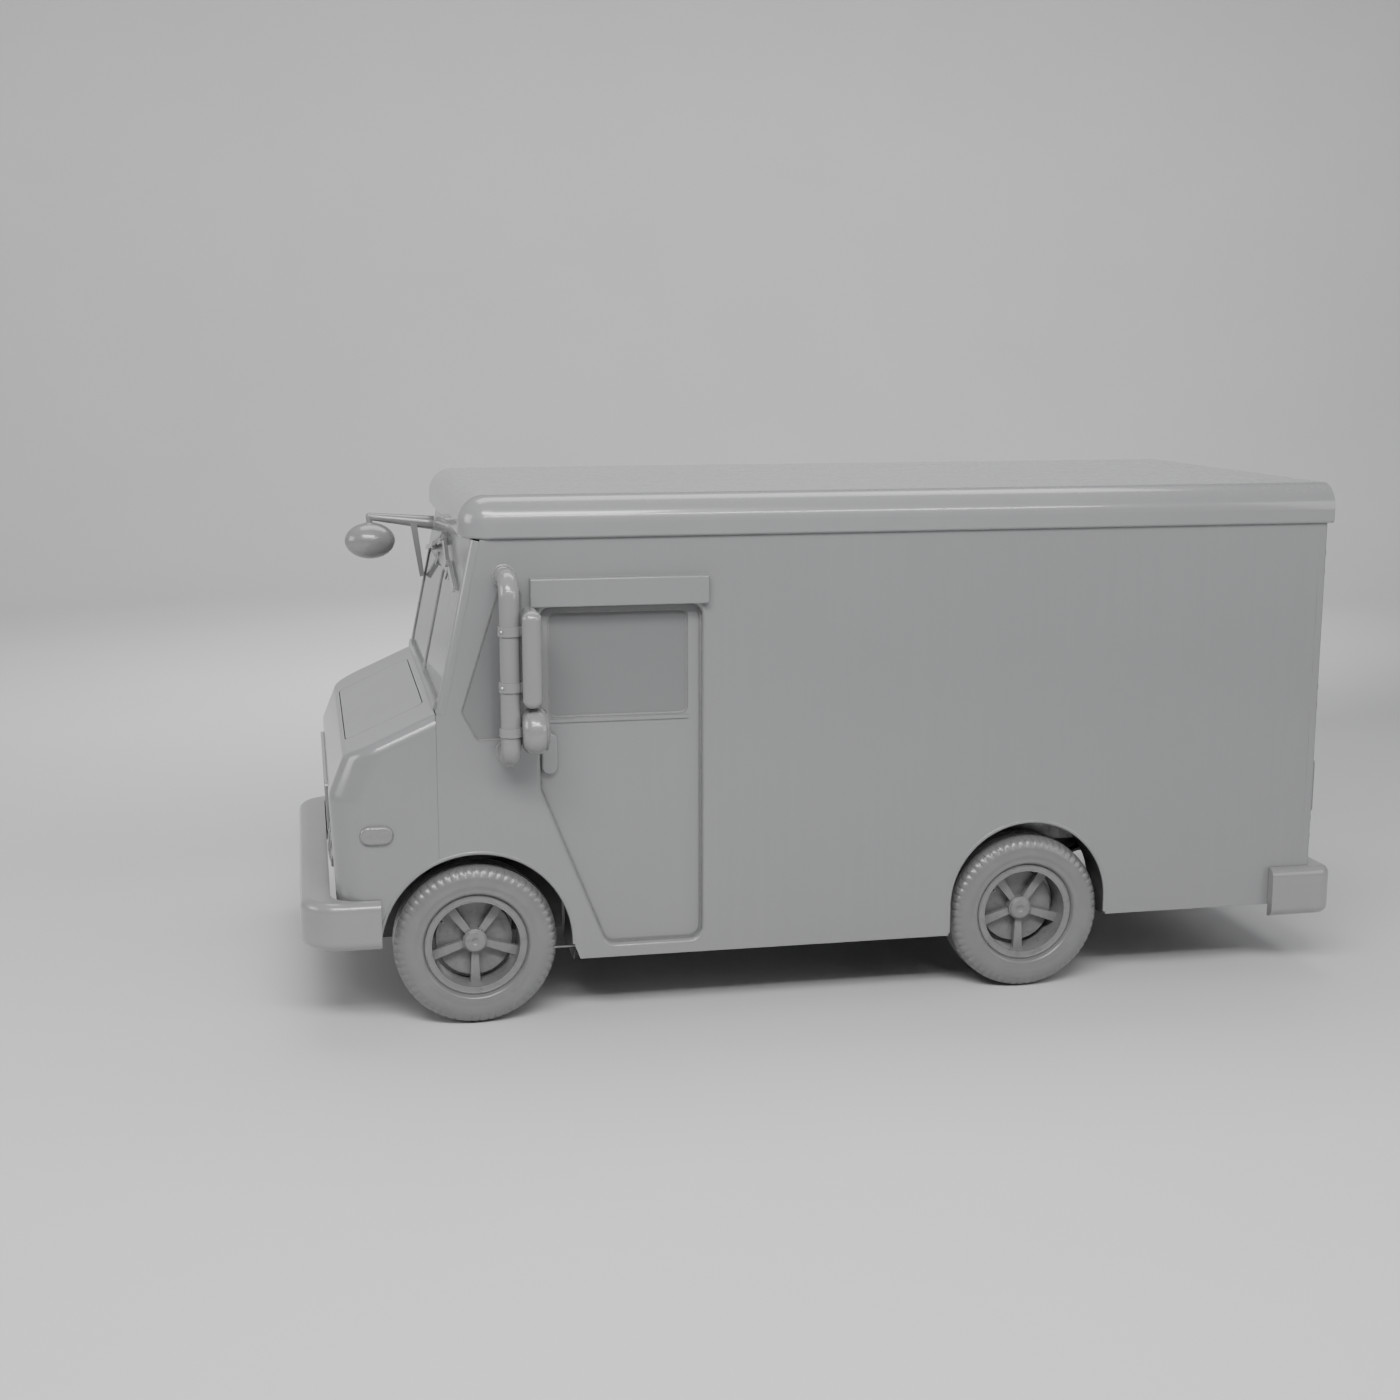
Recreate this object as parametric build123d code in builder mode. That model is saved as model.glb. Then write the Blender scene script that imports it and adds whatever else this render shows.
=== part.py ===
from build123d import *
import os
from math import atan, cos, degrees, radians, sin, tan

# Step van for mail delivery. Millimetres. +X forward, +Y to the left, +Z up.
# The origin is on the ground, under the middle of the truck's outer box.

# ---------------------------------------------------------------- overall sizes
WHEELBASE = 2621.0
FRONT_OVERHANG = 775.0          # front axle to the face of the front bumper
REAR_OVERHANG = 1560.0          # rear axle to the face of the rear bumper
BODY_WIDTH = 2100.0
TYRE_DIAMETER = 744.0
TYRE_WIDTH = 225.0
BODY_REAR_SETBACK = 110.0       # rear bumper's face to the body's rear face

# ---------------------------------------------------------------- heights
ROCKER_Z = 290.0
REAR_SKIRT_Z = 350.0
NOSE_BOTTOM_Z = 400.0
FLOOR_TOP_Z = 700.0
COWL_Z = 1442.0                 # foot of the windscreen
ROOF_LIP_Z = 2213.0
ROOF_TOP_Z = 2400.0

# ---------------------------------------------------------------- thicknesses and gaps
SIDE_SKIN = 30.0
NOSE_SKIN = 25.0
SCREEN_FRAME = 40.0
REAR_FRAME = 38.0
FLOOR_THICK = 30.0
GLASS_THICK = 6.0
GLASS_RECESS = 6.0
GLASS_SEAT = 12.0               # width of the ledge that a pane rests on
GLASS_GAP = 0.5
SEAM = 0.6                      # shut line between fixed panels
SHUT_GAP = 4.0                  # shut line round an opening panel
RUNNING_FIT = 0.06              # radial clearance of a pin in its bore

# ---------------------------------------------------------------- wheels and axles
TYRE_INSET = 14.0               # body side to the tyre's outer wall
RIM_FLANGE_R = 232.0
RIM_BARREL_R = 207.0
RIM_WALL = 7.0
RIM_WIDTH = 169.0
DISC_DEPTH = 85.0               # rim's outer face to the face of the spokes
SPOKES = 5
SPOKE_HALF = (15.0, 23.0)       # half widths at the hub and at the barrel
SPOKE_THICK = 30.0
HUB_R = 61.0
DRUM_R = 175.0
SPINDLE_R = 22.0
KINGPIN_R = 12.0
KINGPIN_INSET = 134.0           # tyre's middle plane to the kingpin
STEERING_ARM = 150.0
TIE_STUD_R = 10.0
FRONT_ARCH_R = 440.0
REAR_ARCH_HALF = 395.0
REAR_ARCH_TOP = 828.0

# ---------------------------------------------------------------- nose
NOSE_LENGTH = 634.0             # front axle to the foremost point of the nose
NOSE_SEAM_X = 160.0             # front axle to the seam behind the nose
HOOD_EDGE = (560.0, 1264.0)     # where the sloping hood turns down
NOSE_BROW = (634.0, 1080.0)
NOSE_FOOT = (605.0, 400.0)
NOSE_CORNER_R = 140.0
SHOULDER_R = 55.0
HOOD_HALF = 660.0
HOOD_BACK_X = 190.0
HOOD_FRONT_X = 548.0
GRILLE_HALF = 600.0
GRILLE_LOW = 840.0
GRILLE_HIGH = 1060.0
GRILLE_BARS = 5
HEADLAMP_R = 92.0
HEADLAMP_Y = 750.0
HEADLAMP_Z = 810.0

# ---------------------------------------------------------------- windscreen
SCREEN_LEAN = 12.08             # degrees back from upright
PANE_LOW = 58.0                 # along the slope, from the cowl
PANE_HIGH = 540.0
PANE_INNER = 32.0               # half of the centre divider
PILLAR_WIDTH = 92.0
WIPER_PIVOT_Y = 62.0
WIPER_PIVOT_UP = 690.0
WIPER_BEND = (446.0, 612.0)
WIPER_TIP = (925.0, 549.0)

# ---------------------------------------------------------------- side doors, from the front axle
DOOR_FRONT = -301.0
DOOR_REAR = -1038.0
DOOR_TOP_Z = 1910.0
DOOR_KNEE_Z = 1086.0
DOOR_FOOT = -594.0
DOOR_BOTTOM_Z = 350.0
DOOR_OVERLAP = 22.0
DOORWAY_CORNER = 60.0
DOORWAY_ROLL = 18.0             # soft outer edge round the doorway and the wheel arches
DOOR_THICK = 34.0
DOOR_RUN_GAP = 12.0             # skin to the door that slides behind it
DOOR_TRAVEL = 640.0
HEADER_PROUD = 40.0

# ---------------------------------------------------------------- rear doors
PORTAL_HALF = 962.0
PORTAL_LOW = 640.0
PORTAL_HIGH = 2120.0
REAR_DOOR_THICK = 35.0
HINGE_PIN_R = 6.0
HINGE_BARREL_R = 13.0
HINGE_HEIGHTS = (720.0, 1370.0, 2020.0)

# ---------------------------------------------------------------- frame
RAIL_OUTER = 432.0
RAIL_WIDTH = 60.0
RAIL_HEIGHT = 170.0

# ---------------------------------------------------------------- worked out from the sizes above
LENGTH = WHEELBASE + FRONT_OVERHANG + REAR_OVERHANG
HALF = BODY_WIDTH / 2
FRONT_X = LENGTH / 2 - FRONT_OVERHANG
REAR_X = FRONT_X - WHEELBASE
TAIL_X = BODY_REAR_SETBACK - LENGTH / 2
AXLE_Z = TYRE_DIAMETER / 2
WHEEL_Y = HALF - TYRE_INSET - TYRE_WIDTH / 2
KINGPIN_Y = WHEEL_Y - KINGPIN_INSET
FLOOR_LOW = FLOOR_TOP_Z - FLOOR_THICK
RAIL_LOW = FLOOR_LOW - RAIL_HEIGHT
SKIN_IN = HALF - SIDE_SKIN
DOOR_OUT_Y = SKIN_IN - DOOR_RUN_GAP
DOOR_IN_Y = DOOR_OUT_Y - DOOR_THICK
LINER_Y = DOOR_IN_Y - 14        # everything inside stays clear of the sliding doors
SCREEN_SLOPE = tan(radians(SCREEN_LEAN))
SCREEN_HEIGHT = (ROOF_LIP_Z - COWL_Z) / cos(radians(SCREEN_LEAN))
HINGE_X = TAIL_X - 14
PORTAL_SIDE = PORTAL_HALF - SHUT_GAP


# ---------------------------------------------------------------- planes and small helpers
def side_plane(y):
    """Drawing plane at width y: across is X, up is Z, and an extrusion goes inboard to the right."""
    return Plane(origin=(0, y, 0), x_dir=(1, 0, 0), z_dir=(0, -1, 0))


def front_plane(x):
    """Drawing plane at length x: across is Y, up is Z, and an extrusion goes forward."""
    return Plane(origin=(x, 0, 0), x_dir=(0, 1, 0), z_dir=(1, 0, 0))


def wheel_plane(x, z):
    """Section through an axle line at x, z: across is Y, up is the radius."""
    return Plane(origin=(x, 0, z), x_dir=(0, 1, 0), z_dir=(1, 0, 0))


SCREEN_PLANE = Plane(
    origin=(FRONT_X + NOSE_SEAM_X - 3, 0, COWL_Z),
    x_dir=(0, 1, 0),
    z_dir=(cos(radians(SCREEN_LEAN)), 0, sin(radians(SCREEN_LEAN))),
)
FACE_LEAN = atan((NOSE_BROW[0] - NOSE_FOOT[0]) / (NOSE_BROW[1] - NOSE_FOOT[1]))
FACE_PLANE = Plane(
    origin=(FRONT_X + NOSE_FOOT[0], 0, NOSE_FOOT[1]),
    x_dir=(0, 1, 0),
    z_dir=(cos(FACE_LEAN), 0, -sin(FACE_LEAN)),
)


def from_front(points):
    """Points given from the front axle, as points of the truck."""
    return [(FRONT_X + x, z) for x, z in points]


def block(x0, x1, y0, y1, z0, z1, mode=Mode.ADD):
    """A plain box between six limits, in the current part."""
    with Locations(((x0 + x1) / 2, (y0 + y1) / 2, (z0 + z1) / 2)):
        Box(abs(x1 - x0), abs(y1 - y0), abs(z1 - z0), mode=mode)


def polygon_prism(plane, points, depth, mode=Mode.ADD, rounding=0.0):
    """A straight-sided outline on a plane, pushed to a depth, with its corners rounded."""
    with BuildSketch(plane) as outline:
        Polygon(*points, align=None)
        if rounding:
            fillet(outline.vertices(), rounding)
    extrude(outline.sketch, amount=depth, mode=mode)


def right_hand(left):
    """The same piece for the other side of the truck."""
    with BuildPart() as right:
        mirror(left.part, about=Plane.XZ)
    return right


def together(*builders):
    """Separate solids that share one name, kept apart even where they touch."""
    solids = [solid for builder in builders for solid in builder.part.solids()]
    return Compound(solids)


# ---------------------------------------------------------------- ladder frame
RAIL_FRONT = FRONT_X + 560
RAIL_BACK = TAIL_X + 60
CROSS_X = (FRONT_X + 520, FRONT_X - 620, FRONT_X - 1350, REAR_X + 480, REAR_X - 480, TAIL_X + 110)
CROSS_DEPTH = 60.0
CROSS_HEIGHT = 50.0
SPRING_HALF = 520.0
SPRING_WIDTH = 60.0
SPRING_Y = RAIL_OUTER + 12 + SPRING_WIDTH / 2


def frame_rail():
    with BuildPart() as rail:
        block(RAIL_BACK, RAIL_FRONT, RAIL_OUTER - RAIL_WIDTH, RAIL_OUTER, RAIL_LOW, FLOOR_LOW)
        inner = RAIL_OUTER - 8
        block(RAIL_BACK, RAIL_FRONT, RAIL_OUTER - RAIL_WIDTH, inner, RAIL_LOW + 8, FLOOR_LOW - 8,
              mode=Mode.SUBTRACT)
    return rail


def crossmember(x):
    reach = RAIL_OUTER - RAIL_WIDTH
    with BuildPart() as member:
        block(x - CROSS_DEPTH / 2, x + CROSS_DEPTH / 2, -reach, reach, FLOOR_LOW - CROSS_HEIGHT, FLOOR_LOW)
        fillet(member.edges().filter_by(Axis.Y), 8)
    return member


def spring_hanger(x):
    """A drop bracket on the rail's outer face that holds one eye of a leaf spring."""
    low = AXLE_Z + 150
    with BuildPart() as hanger:
        polygon_prism(side_plane(RAIL_OUTER + 12),
                      [(x - 45, FLOOR_LOW - 20), (x - 22, low), (x + 22, low), (x + 45, FLOOR_LOW - 20)], 12)
    return hanger


def ladder_frame():
    rail = frame_rail()
    members = [crossmember(x) for x in CROSS_X]
    eyes = [axle + side * SPRING_HALF for axle in (FRONT_X, REAR_X) for side in (-1, 1)]
    hangers = [spring_hanger(x) for x in eyes]
    return together(rail, right_hand(rail), *members, *hangers, *[right_hand(h) for h in hangers])


# ---------------------------------------------------------------- axles, springs, steering
BEAM_HEIGHT = 60.0
BEAM_TOP = AXLE_Z + BEAM_HEIGHT / 2
YOKE_GAP = 86.0
YOKE_THICK = 24.0
YOKE_R = 30.0
HUB_IN_Y = WHEEL_Y - 62
HUB_OUT_Y = WHEEL_Y + RIM_WIDTH / 2 - DISC_DEPTH + 26


def leaf_spring(axle_x, seat_z):
    """Three stacked leaves, each a shallow arc, that pass over the axle."""
    eye_z = AXLE_Z + 165
    with BuildPart() as spring:
        for leaf, half in enumerate((SPRING_HALF, SPRING_HALF * 0.78, SPRING_HALF * 0.52)):
            rise = (eye_z - seat_z - 24) * (half / SPRING_HALF) ** 2
            low = seat_z + 24 - leaf * 12
            with BuildSketch(side_plane(SPRING_Y + SPRING_WIDTH / 2)):
                with BuildLine():
                    ThreePointArc((axle_x - half, low + rise), (axle_x, low), (axle_x + half, low + rise))
                    Line((axle_x + half, low + rise), (axle_x + half, low + rise + 12.2))
                    ThreePointArc((axle_x + half, low + rise + 12.2), (axle_x, low + 12.2),
                                  (axle_x - half, low + rise + 12.2))
                    Line((axle_x - half, low + rise + 12.2), (axle_x - half, low + rise))
                make_face()
            extrude(amount=SPRING_WIDTH)
        for side in (-1, 1):
            with BuildSketch(side_plane(SPRING_Y + SPRING_WIDTH / 2)):
                with Locations((axle_x + side * SPRING_HALF, eye_z + 4)):
                    Circle(24)
            extrude(amount=SPRING_WIDTH)
        with Locations((axle_x, SPRING_Y, seat_z + 18)):
            Box(110, SPRING_WIDTH + 20, 36)
    return spring


def leaf_springs():
    front = leaf_spring(FRONT_X, BEAM_TOP)
    rear = leaf_spring(REAR_X, AXLE_Z + 48)
    return together(front, right_hand(front), rear, right_hand(rear))


def front_axle_beam():
    with BuildPart() as beam:
        block(FRONT_X - 32, FRONT_X + 32, -KINGPIN_Y, KINGPIN_Y, AXLE_Z - BEAM_HEIGHT / 2, BEAM_TOP)
        fillet(beam.edges().filter_by(Axis.Y), 10)
        for side in (-1, 1):
            with Locations((FRONT_X, side * KINGPIN_Y, AXLE_Z)):
                Cylinder(26, YOKE_GAP - 4)
                Cylinder(KINGPIN_R, YOKE_GAP + 2 * YOKE_THICK + 10)
    return beam


def rear_axle_housing():
    with BuildPart() as housing:
        with BuildSketch(wheel_plane(REAR_X, AXLE_Z)):
            with BuildLine():
                Polyline((0, 0), (0, 150), (90, 130), (160, 46), (HUB_IN_Y - 14, 46), (HUB_IN_Y - 14, 60),
                         (HUB_IN_Y - 4, 60), (HUB_IN_Y - 4, SPINDLE_R), (HUB_OUT_Y - 10, SPINDLE_R),
                         (HUB_OUT_Y - 10, 0), (0, 0))
            make_face()
        revolve(axis=Axis((REAR_X, 0, AXLE_Z), (0, 1, 0)))
        mirror(about=Plane.XZ)
        with Locations(Location((REAR_X + 150, 0, AXLE_Z), (0, 90, 0))):
            Cylinder(52, 110)
    return housing


def left_knuckle():
    """Yoke round the beam's eye, spindle for the wheel, arm to the rear for the tie rod."""
    web_in = KINGPIN_Y + 33
    web_out = HUB_IN_Y - 4
    arm_z = AXLE_Z - YOKE_GAP / 2 - YOKE_THICK / 2
    with BuildPart() as knuckle:
        for up in (-1, 1):
            centre = AXLE_Z + up * (YOKE_GAP + YOKE_THICK) / 2
            with Locations((FRONT_X, KINGPIN_Y, centre)):
                Cylinder(YOKE_R, YOKE_THICK)
            block(FRONT_X - YOKE_R, FRONT_X + YOKE_R, KINGPIN_Y, web_out,
                  centre - YOKE_THICK / 2, centre + YOKE_THICK / 2)
        tall = YOKE_GAP / 2 + YOKE_THICK
        block(FRONT_X - YOKE_R, FRONT_X + YOKE_R, web_in, web_out, AXLE_Z - tall, AXLE_Z + tall)
        with Locations(Location((FRONT_X, (web_out + HUB_OUT_Y - 10) / 2, AXLE_Z), (90, 0, 0))):
            Cylinder(SPINDLE_R, HUB_OUT_Y - 10 - web_out)
        block(FRONT_X - STEERING_ARM, FRONT_X, KINGPIN_Y - 15, KINGPIN_Y + 15,
              arm_z - YOKE_THICK / 2, arm_z + YOKE_THICK / 2)
        with Locations((FRONT_X - STEERING_ARM, KINGPIN_Y, arm_z)):
            Cylinder(18, YOKE_THICK)
        with Locations((FRONT_X - STEERING_ARM, KINGPIN_Y, arm_z - YOKE_THICK / 2 - 18)):
            Cylinder(TIE_STUD_R, 36)
        with Locations((FRONT_X, KINGPIN_Y, AXLE_Z)):
            Cylinder(KINGPIN_R + RUNNING_FIT, 4 * tall, mode=Mode.SUBTRACT)
    return knuckle


def tie_rod():
    rod_z = AXLE_Z - YOKE_GAP / 2 - YOKE_THICK - 18
    with BuildPart() as rod:
        with Locations(Location((FRONT_X - STEERING_ARM, 0, rod_z), (90, 0, 0))):
            Cylinder(13, 2 * KINGPIN_Y)
        for side in (-1, 1):
            with Locations((FRONT_X - STEERING_ARM, side * KINGPIN_Y, rod_z)):
                Cylinder(22, 30)
        with Locations((FRONT_X - STEERING_ARM, KINGPIN_Y, rod_z)):
            Cylinder(TIE_STUD_R + RUNNING_FIT, 60, mode=Mode.SUBTRACT)
        with Locations((FRONT_X - STEERING_ARM, -KINGPIN_Y, rod_z)):
            Cylinder(TIE_STUD_R + 1.0, 60, mode=Mode.SUBTRACT)
    return rod


# ---------------------------------------------------------------- wheels
def tyre(axle_x):
    """Left tyre: a bead in the rim, a full sidewall, and a gently crowned tread."""
    half = TYRE_WIDTH / 2
    radius = TYRE_DIAMETER / 2
    bead = RIM_WIDTH / 2
    section = [(0, radius), (half * 0.56, radius - 4), (half * 0.86, radius - 24), (half, radius - 78),
               (half - 6, RIM_FLANGE_R + 18), (bead - 9, RIM_FLANGE_R + 3)]
    with BuildPart() as body:
        with BuildSketch(wheel_plane(axle_x, AXLE_Z)):
            with BuildLine():
                Spline(*[(WHEEL_Y + y, r) for y, r in section], tangents=((1, 0), (-1, -1)))
                Polyline((WHEEL_Y + bead - 9, RIM_FLANGE_R + 3), (WHEEL_Y + bead - 9, RIM_BARREL_R + 0.5),
                         (WHEEL_Y, RIM_BARREL_R + 0.5), (WHEEL_Y, radius))
            make_face()
        revolve(axis=Axis((axle_x, 0, AXLE_Z), (0, 1, 0)))
        mirror(about=Plane.XZ.offset(-WHEEL_Y))
    return body


def rim(axle_x):
    """Left wheel: barrel with rolled lips, five spokes on a hub, and the brake drum behind them."""
    edge = RIM_WIDTH / 2
    inner = RIM_BARREL_R - RIM_WALL
    out_y = WHEEL_Y + edge
    disc = out_y - DISC_DEPTH
    foot = HUB_R - 20
    axis = Axis((axle_x, 0, AXLE_Z), (0, 1, 0))
    with BuildPart() as wheel:
        with BuildSketch(wheel_plane(axle_x, AXLE_Z)):
            with BuildLine():
                Polyline((WHEEL_Y - edge, inner), (out_y, inner), (out_y, RIM_FLANGE_R),
                         (out_y - 8, RIM_FLANGE_R), (out_y - 8, RIM_BARREL_R),
                         (WHEEL_Y - edge + 8, RIM_BARREL_R), (WHEEL_Y - edge + 8, RIM_FLANGE_R),
                         (WHEEL_Y - edge, RIM_FLANGE_R), (WHEEL_Y - edge, inner))
            make_face()
        revolve(axis=axis)
        with BuildSketch(wheel_plane(axle_x, AXLE_Z)):
            with BuildLine():
                Polyline((HUB_IN_Y, SPINDLE_R + RUNNING_FIT), (HUB_IN_Y, DRUM_R), (disc - 34, DRUM_R),
                         (disc - 34, HUB_R - 6), (disc + 26, HUB_R - 6), (disc + 30, HUB_R - 14),
                         (disc + 30, 0), (HUB_OUT_Y - 6, 0), (HUB_OUT_Y - 6, SPINDLE_R + RUNNING_FIT),
                         (HUB_IN_Y, SPINDLE_R + RUNNING_FIT))
            make_face()
        revolve(axis=axis)
        for spoke in range(SPOKES):
            turn = -90 + spoke * 360 / SPOKES
            with BuildSketch(Plane(origin=(axle_x, disc - 22, AXLE_Z), x_dir=(-1, 0, 0), z_dir=(0, 1, 0))):
                with Locations(Location((0, 0), turn)):
                    Polygon((foot, -SPOKE_HALF[0]), (foot, SPOKE_HALF[0]), (inner + 2, SPOKE_HALF[1]),
                            (inner + 2, -SPOKE_HALF[1]), align=None)
            extrude(amount=SPOKE_THICK)
    return wheel


# ---------------------------------------------------------------- engine, gearbox, radiator, exhaust
PROP_FRONT = (FRONT_X - 640, 560.0)
PROP_REAR = (REAR_X + 216, AXLE_Z)
ENGINE_BACK = -190.0            # measured from the front axle, as are the sizes below
ENGINE_FRONT = 360.0
ENGINE_HALF = 170.0
ENGINE_LOW = AXLE_Z + 170
HEADS_LOW = 880.0
HEADS_TOP = 1060.0
HEADS_HALF = 240.0
HEADS_INSET = 40.0
PULLEY = (90.0, 24.0, 700.0)    # radius, thickness, height
GEARBOX_R = (120.0, 48.0)
GEARBOX_Z = 600.0
RADIATOR_X = (470.0, 520.0)
RADIATOR_HALF = 330.0
RADIATOR_Z = (725.0, 1150.0)
TANK_TALL = 40.0
EXHAUST_R = 25.0
EXHAUST_Y = -290.0
SILENCER = (78.0, 460.0)
SILENCER_X = REAR_X + 1250
SILENCER_Z = 444.0


def power_unit():
    with BuildPart() as engine:
        block(FRONT_X + ENGINE_BACK, FRONT_X + ENGINE_FRONT, -ENGINE_HALF, ENGINE_HALF, ENGINE_LOW, HEADS_LOW)
        block(FRONT_X + ENGINE_BACK + HEADS_INSET, FRONT_X + ENGINE_FRONT - HEADS_INSET,
              -HEADS_HALF, HEADS_HALF, HEADS_LOW, HEADS_TOP)
        fillet(engine.faces().sort_by(Axis.Z)[-1].edges(), 24)
        with Locations(Location((FRONT_X + ENGINE_FRONT + PULLEY[1] / 2, 0, PULLEY[2]), (0, 90, 0))):
            Cylinder(PULLEY[0], PULLEY[1])
    with BuildPart() as gearbox:
        with BuildSketch(front_plane(FRONT_X + ENGINE_BACK)):
            with Locations((0, GEARBOX_Z)):
                Circle(GEARBOX_R[0])
        with BuildSketch(front_plane(PROP_FRONT[0] + 8)):
            with Locations((0, PROP_FRONT[1])):
                Circle(GEARBOX_R[1])
        loft()
    with BuildPart() as radiator:
        back = FRONT_X + RADIATOR_X[0]
        face = FRONT_X + RADIATOR_X[1]
        low, high = RADIATOR_Z
        block(back, face, -RADIATOR_HALF, RADIATOR_HALF, low, high)
        for tank_low in (low - TANK_TALL, high):
            block(back - 8, face + 8, -RADIATOR_HALF - 10, RADIATOR_HALF + 10, tank_low, tank_low + TANK_TALL)
    with BuildPart() as exhaust:
        with BuildLine() as route:
            FilletPolyline((FRONT_X - 200, EXHAUST_Y, 560), (FRONT_X - 700, EXHAUST_Y, 450),
                           (REAR_X + 760, EXHAUST_Y, 440), (REAR_X + 640, -1000, 380), radius=90)
        with BuildSketch(Plane(route.line @ 0, z_dir=route.line % 0)):
            Circle(EXHAUST_R)
        sweep()
        with Locations(Location((SILENCER_X, EXHAUST_Y, SILENCER_Z), (0, 90, 0))):
            Cylinder(SILENCER[0], SILENCER[1])
    return together(engine, gearbox, radiator, exhaust, fuel_tank())


def driveshaft():
    """Tube with a flange at each end, on the line from the gearbox to the rear axle."""
    start = Vector(PROP_FRONT[0], 0, PROP_FRONT[1])
    end = Vector(PROP_REAR[0], 0, PROP_REAR[1])
    along = (end - start).normalized()
    length = (end - start).length
    with BuildPart() as shaft:
        with BuildSketch(Plane(origin=start, z_dir=along)):
            Circle(34)
        extrude(amount=length)
        for at in (0.0, length - 14):
            with BuildSketch(Plane(origin=start + along * at, z_dir=along)):
                Circle(52)
            extrude(amount=14)
    return shaft


def fuel_tank():
    with BuildPart() as tank:
        block(REAR_X + 720, REAR_X + 1320, RAIL_OUTER + 20, RAIL_OUTER + 330, AXLE_Z + 30, FLOOR_LOW - 25)
        fillet(tank.edges().filter_by(Axis.X), 45)
        for x in (REAR_X + 850, REAR_X + 1190):
            block(x - 25, x + 25, RAIL_OUTER, RAIL_OUTER + 24, AXLE_Z + 160, FLOOR_LOW - 30)
    return tank


# ---------------------------------------------------------------- floor, wheel housings, step wells
WHEELBOX_IN = 790.0
WHEELBOX_HALF = 422.0
FRONT_BOX_IN = 600.0
FRONT_BOX_BACK = -470.0
FRONT_BOX_AHEAD = 452.0
FIREWALL_X = 118.0
COVER_BACK = -440.0
COVER_HALF = 300.0
COVER_TOP = 1130.0
STEP_IN = 622.0
STEP_FRONT = -622.0
STEP_Z = 352.0
WELL_WALL = 8.0
HOUSING_TOP = 850.0


def body_floor():
    with BuildPart() as floor:
        block(TAIL_X + REAR_FRAME, FRONT_X + FIREWALL_X, -LINER_Y, LINER_Y, FLOOR_LOW, FLOOR_TOP_Z)
        block(TAIL_X + REAR_FRAME, FRONT_X + DOOR_REAR - DOOR_TRAVEL - 60, -SKIN_IN, SKIN_IN,
              FLOOR_LOW, FLOOR_TOP_Z)
        for side in (-1, 1):
            block(REAR_X - WHEELBOX_HALF, REAR_X + WHEELBOX_HALF, side * WHEELBOX_IN, side * HALF,
                  FLOOR_LOW, FLOOR_TOP_Z, mode=Mode.SUBTRACT)
            block(FRONT_X + FRONT_BOX_BACK, FRONT_X + FIREWALL_X, side * FRONT_BOX_IN, side * HALF,
                  FLOOR_LOW, FLOOR_TOP_Z, mode=Mode.SUBTRACT)
            block(FRONT_X + DOOR_REAR, FRONT_X + STEP_FRONT, side * STEP_IN, side * HALF,
                  FLOOR_LOW, FLOOR_TOP_Z, mode=Mode.SUBTRACT)
        block(FRONT_X + COVER_BACK, FRONT_X + FIREWALL_X, -COVER_HALF, COVER_HALF, FLOOR_LOW, FLOOR_TOP_Z,
              mode=Mode.SUBTRACT)
    return floor


def well(x0, x1, y_in, y_out, z0, z1, opens_down):
    """A pressed box without its outboard wall, open at the bottom or at the top."""
    wall = WELL_WALL
    with BuildPart() as box:
        block(x0, x1, y_in, y_out, z0, z1)
        low = z0 if opens_down else z0 + wall
        high = z1 - wall if opens_down else z1
        block(x0 + wall, x1 - wall, y_in + wall, y_out, low, high, mode=Mode.SUBTRACT)
    return box


def floor_wells():
    rear = well(REAR_X - WHEELBOX_HALF, REAR_X + WHEELBOX_HALF, WHEELBOX_IN, SKIN_IN,
                FLOOR_LOW, HOUSING_TOP, True)
    front = well(FRONT_X + FRONT_BOX_BACK, FRONT_X + FRONT_BOX_AHEAD, FRONT_BOX_IN, LINER_Y,
                 FLOOR_LOW, HOUSING_TOP, True)
    step = well(FRONT_X + DOOR_REAR, FRONT_X + STEP_FRONT, STEP_IN, LINER_Y, STEP_Z, FLOOR_TOP_Z, False)
    return together(rear, right_hand(rear), front, right_hand(front), step, right_hand(step))


# ---------------------------------------------------------------- side panels
QUARTER = [(-215, 1331), (-25, 1331), (39, 1453), (-133, 1989), (-215, 1989)]
GUIDE_X = (DOOR_REAR - DOOR_TRAVEL - 60, DOOR_FRONT + 50)
TRACK_Z = DOOR_TOP_Z + 40
TRACK_SIZE = 50.0
TRACK_WALL = 6.0
TRACK_SLOT = 12.0


def doorway_outline(grow):
    """The doorway's five corners, grown outwards on every side."""
    return from_front([
        (DOOR_FRONT + grow, DOOR_TOP_Z + grow),
        (DOOR_FRONT + grow, DOOR_KNEE_Z),
        (DOOR_FOOT + grow, DOOR_BOTTOM_Z - grow),
        (DOOR_REAR - grow, DOOR_BOTTOM_Z - grow),
        (DOOR_REAR - grow, DOOR_TOP_Z + grow),
    ])


def screen_x(z, depth):
    """Length of the windscreen frame's face, or of a plane that lies depth behind it."""
    lean = radians(SCREEN_LEAN)
    return SCREEN_PLANE.origin.X - (z - COWL_Z) * SCREEN_SLOPE - depth / cos(lean)


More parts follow.
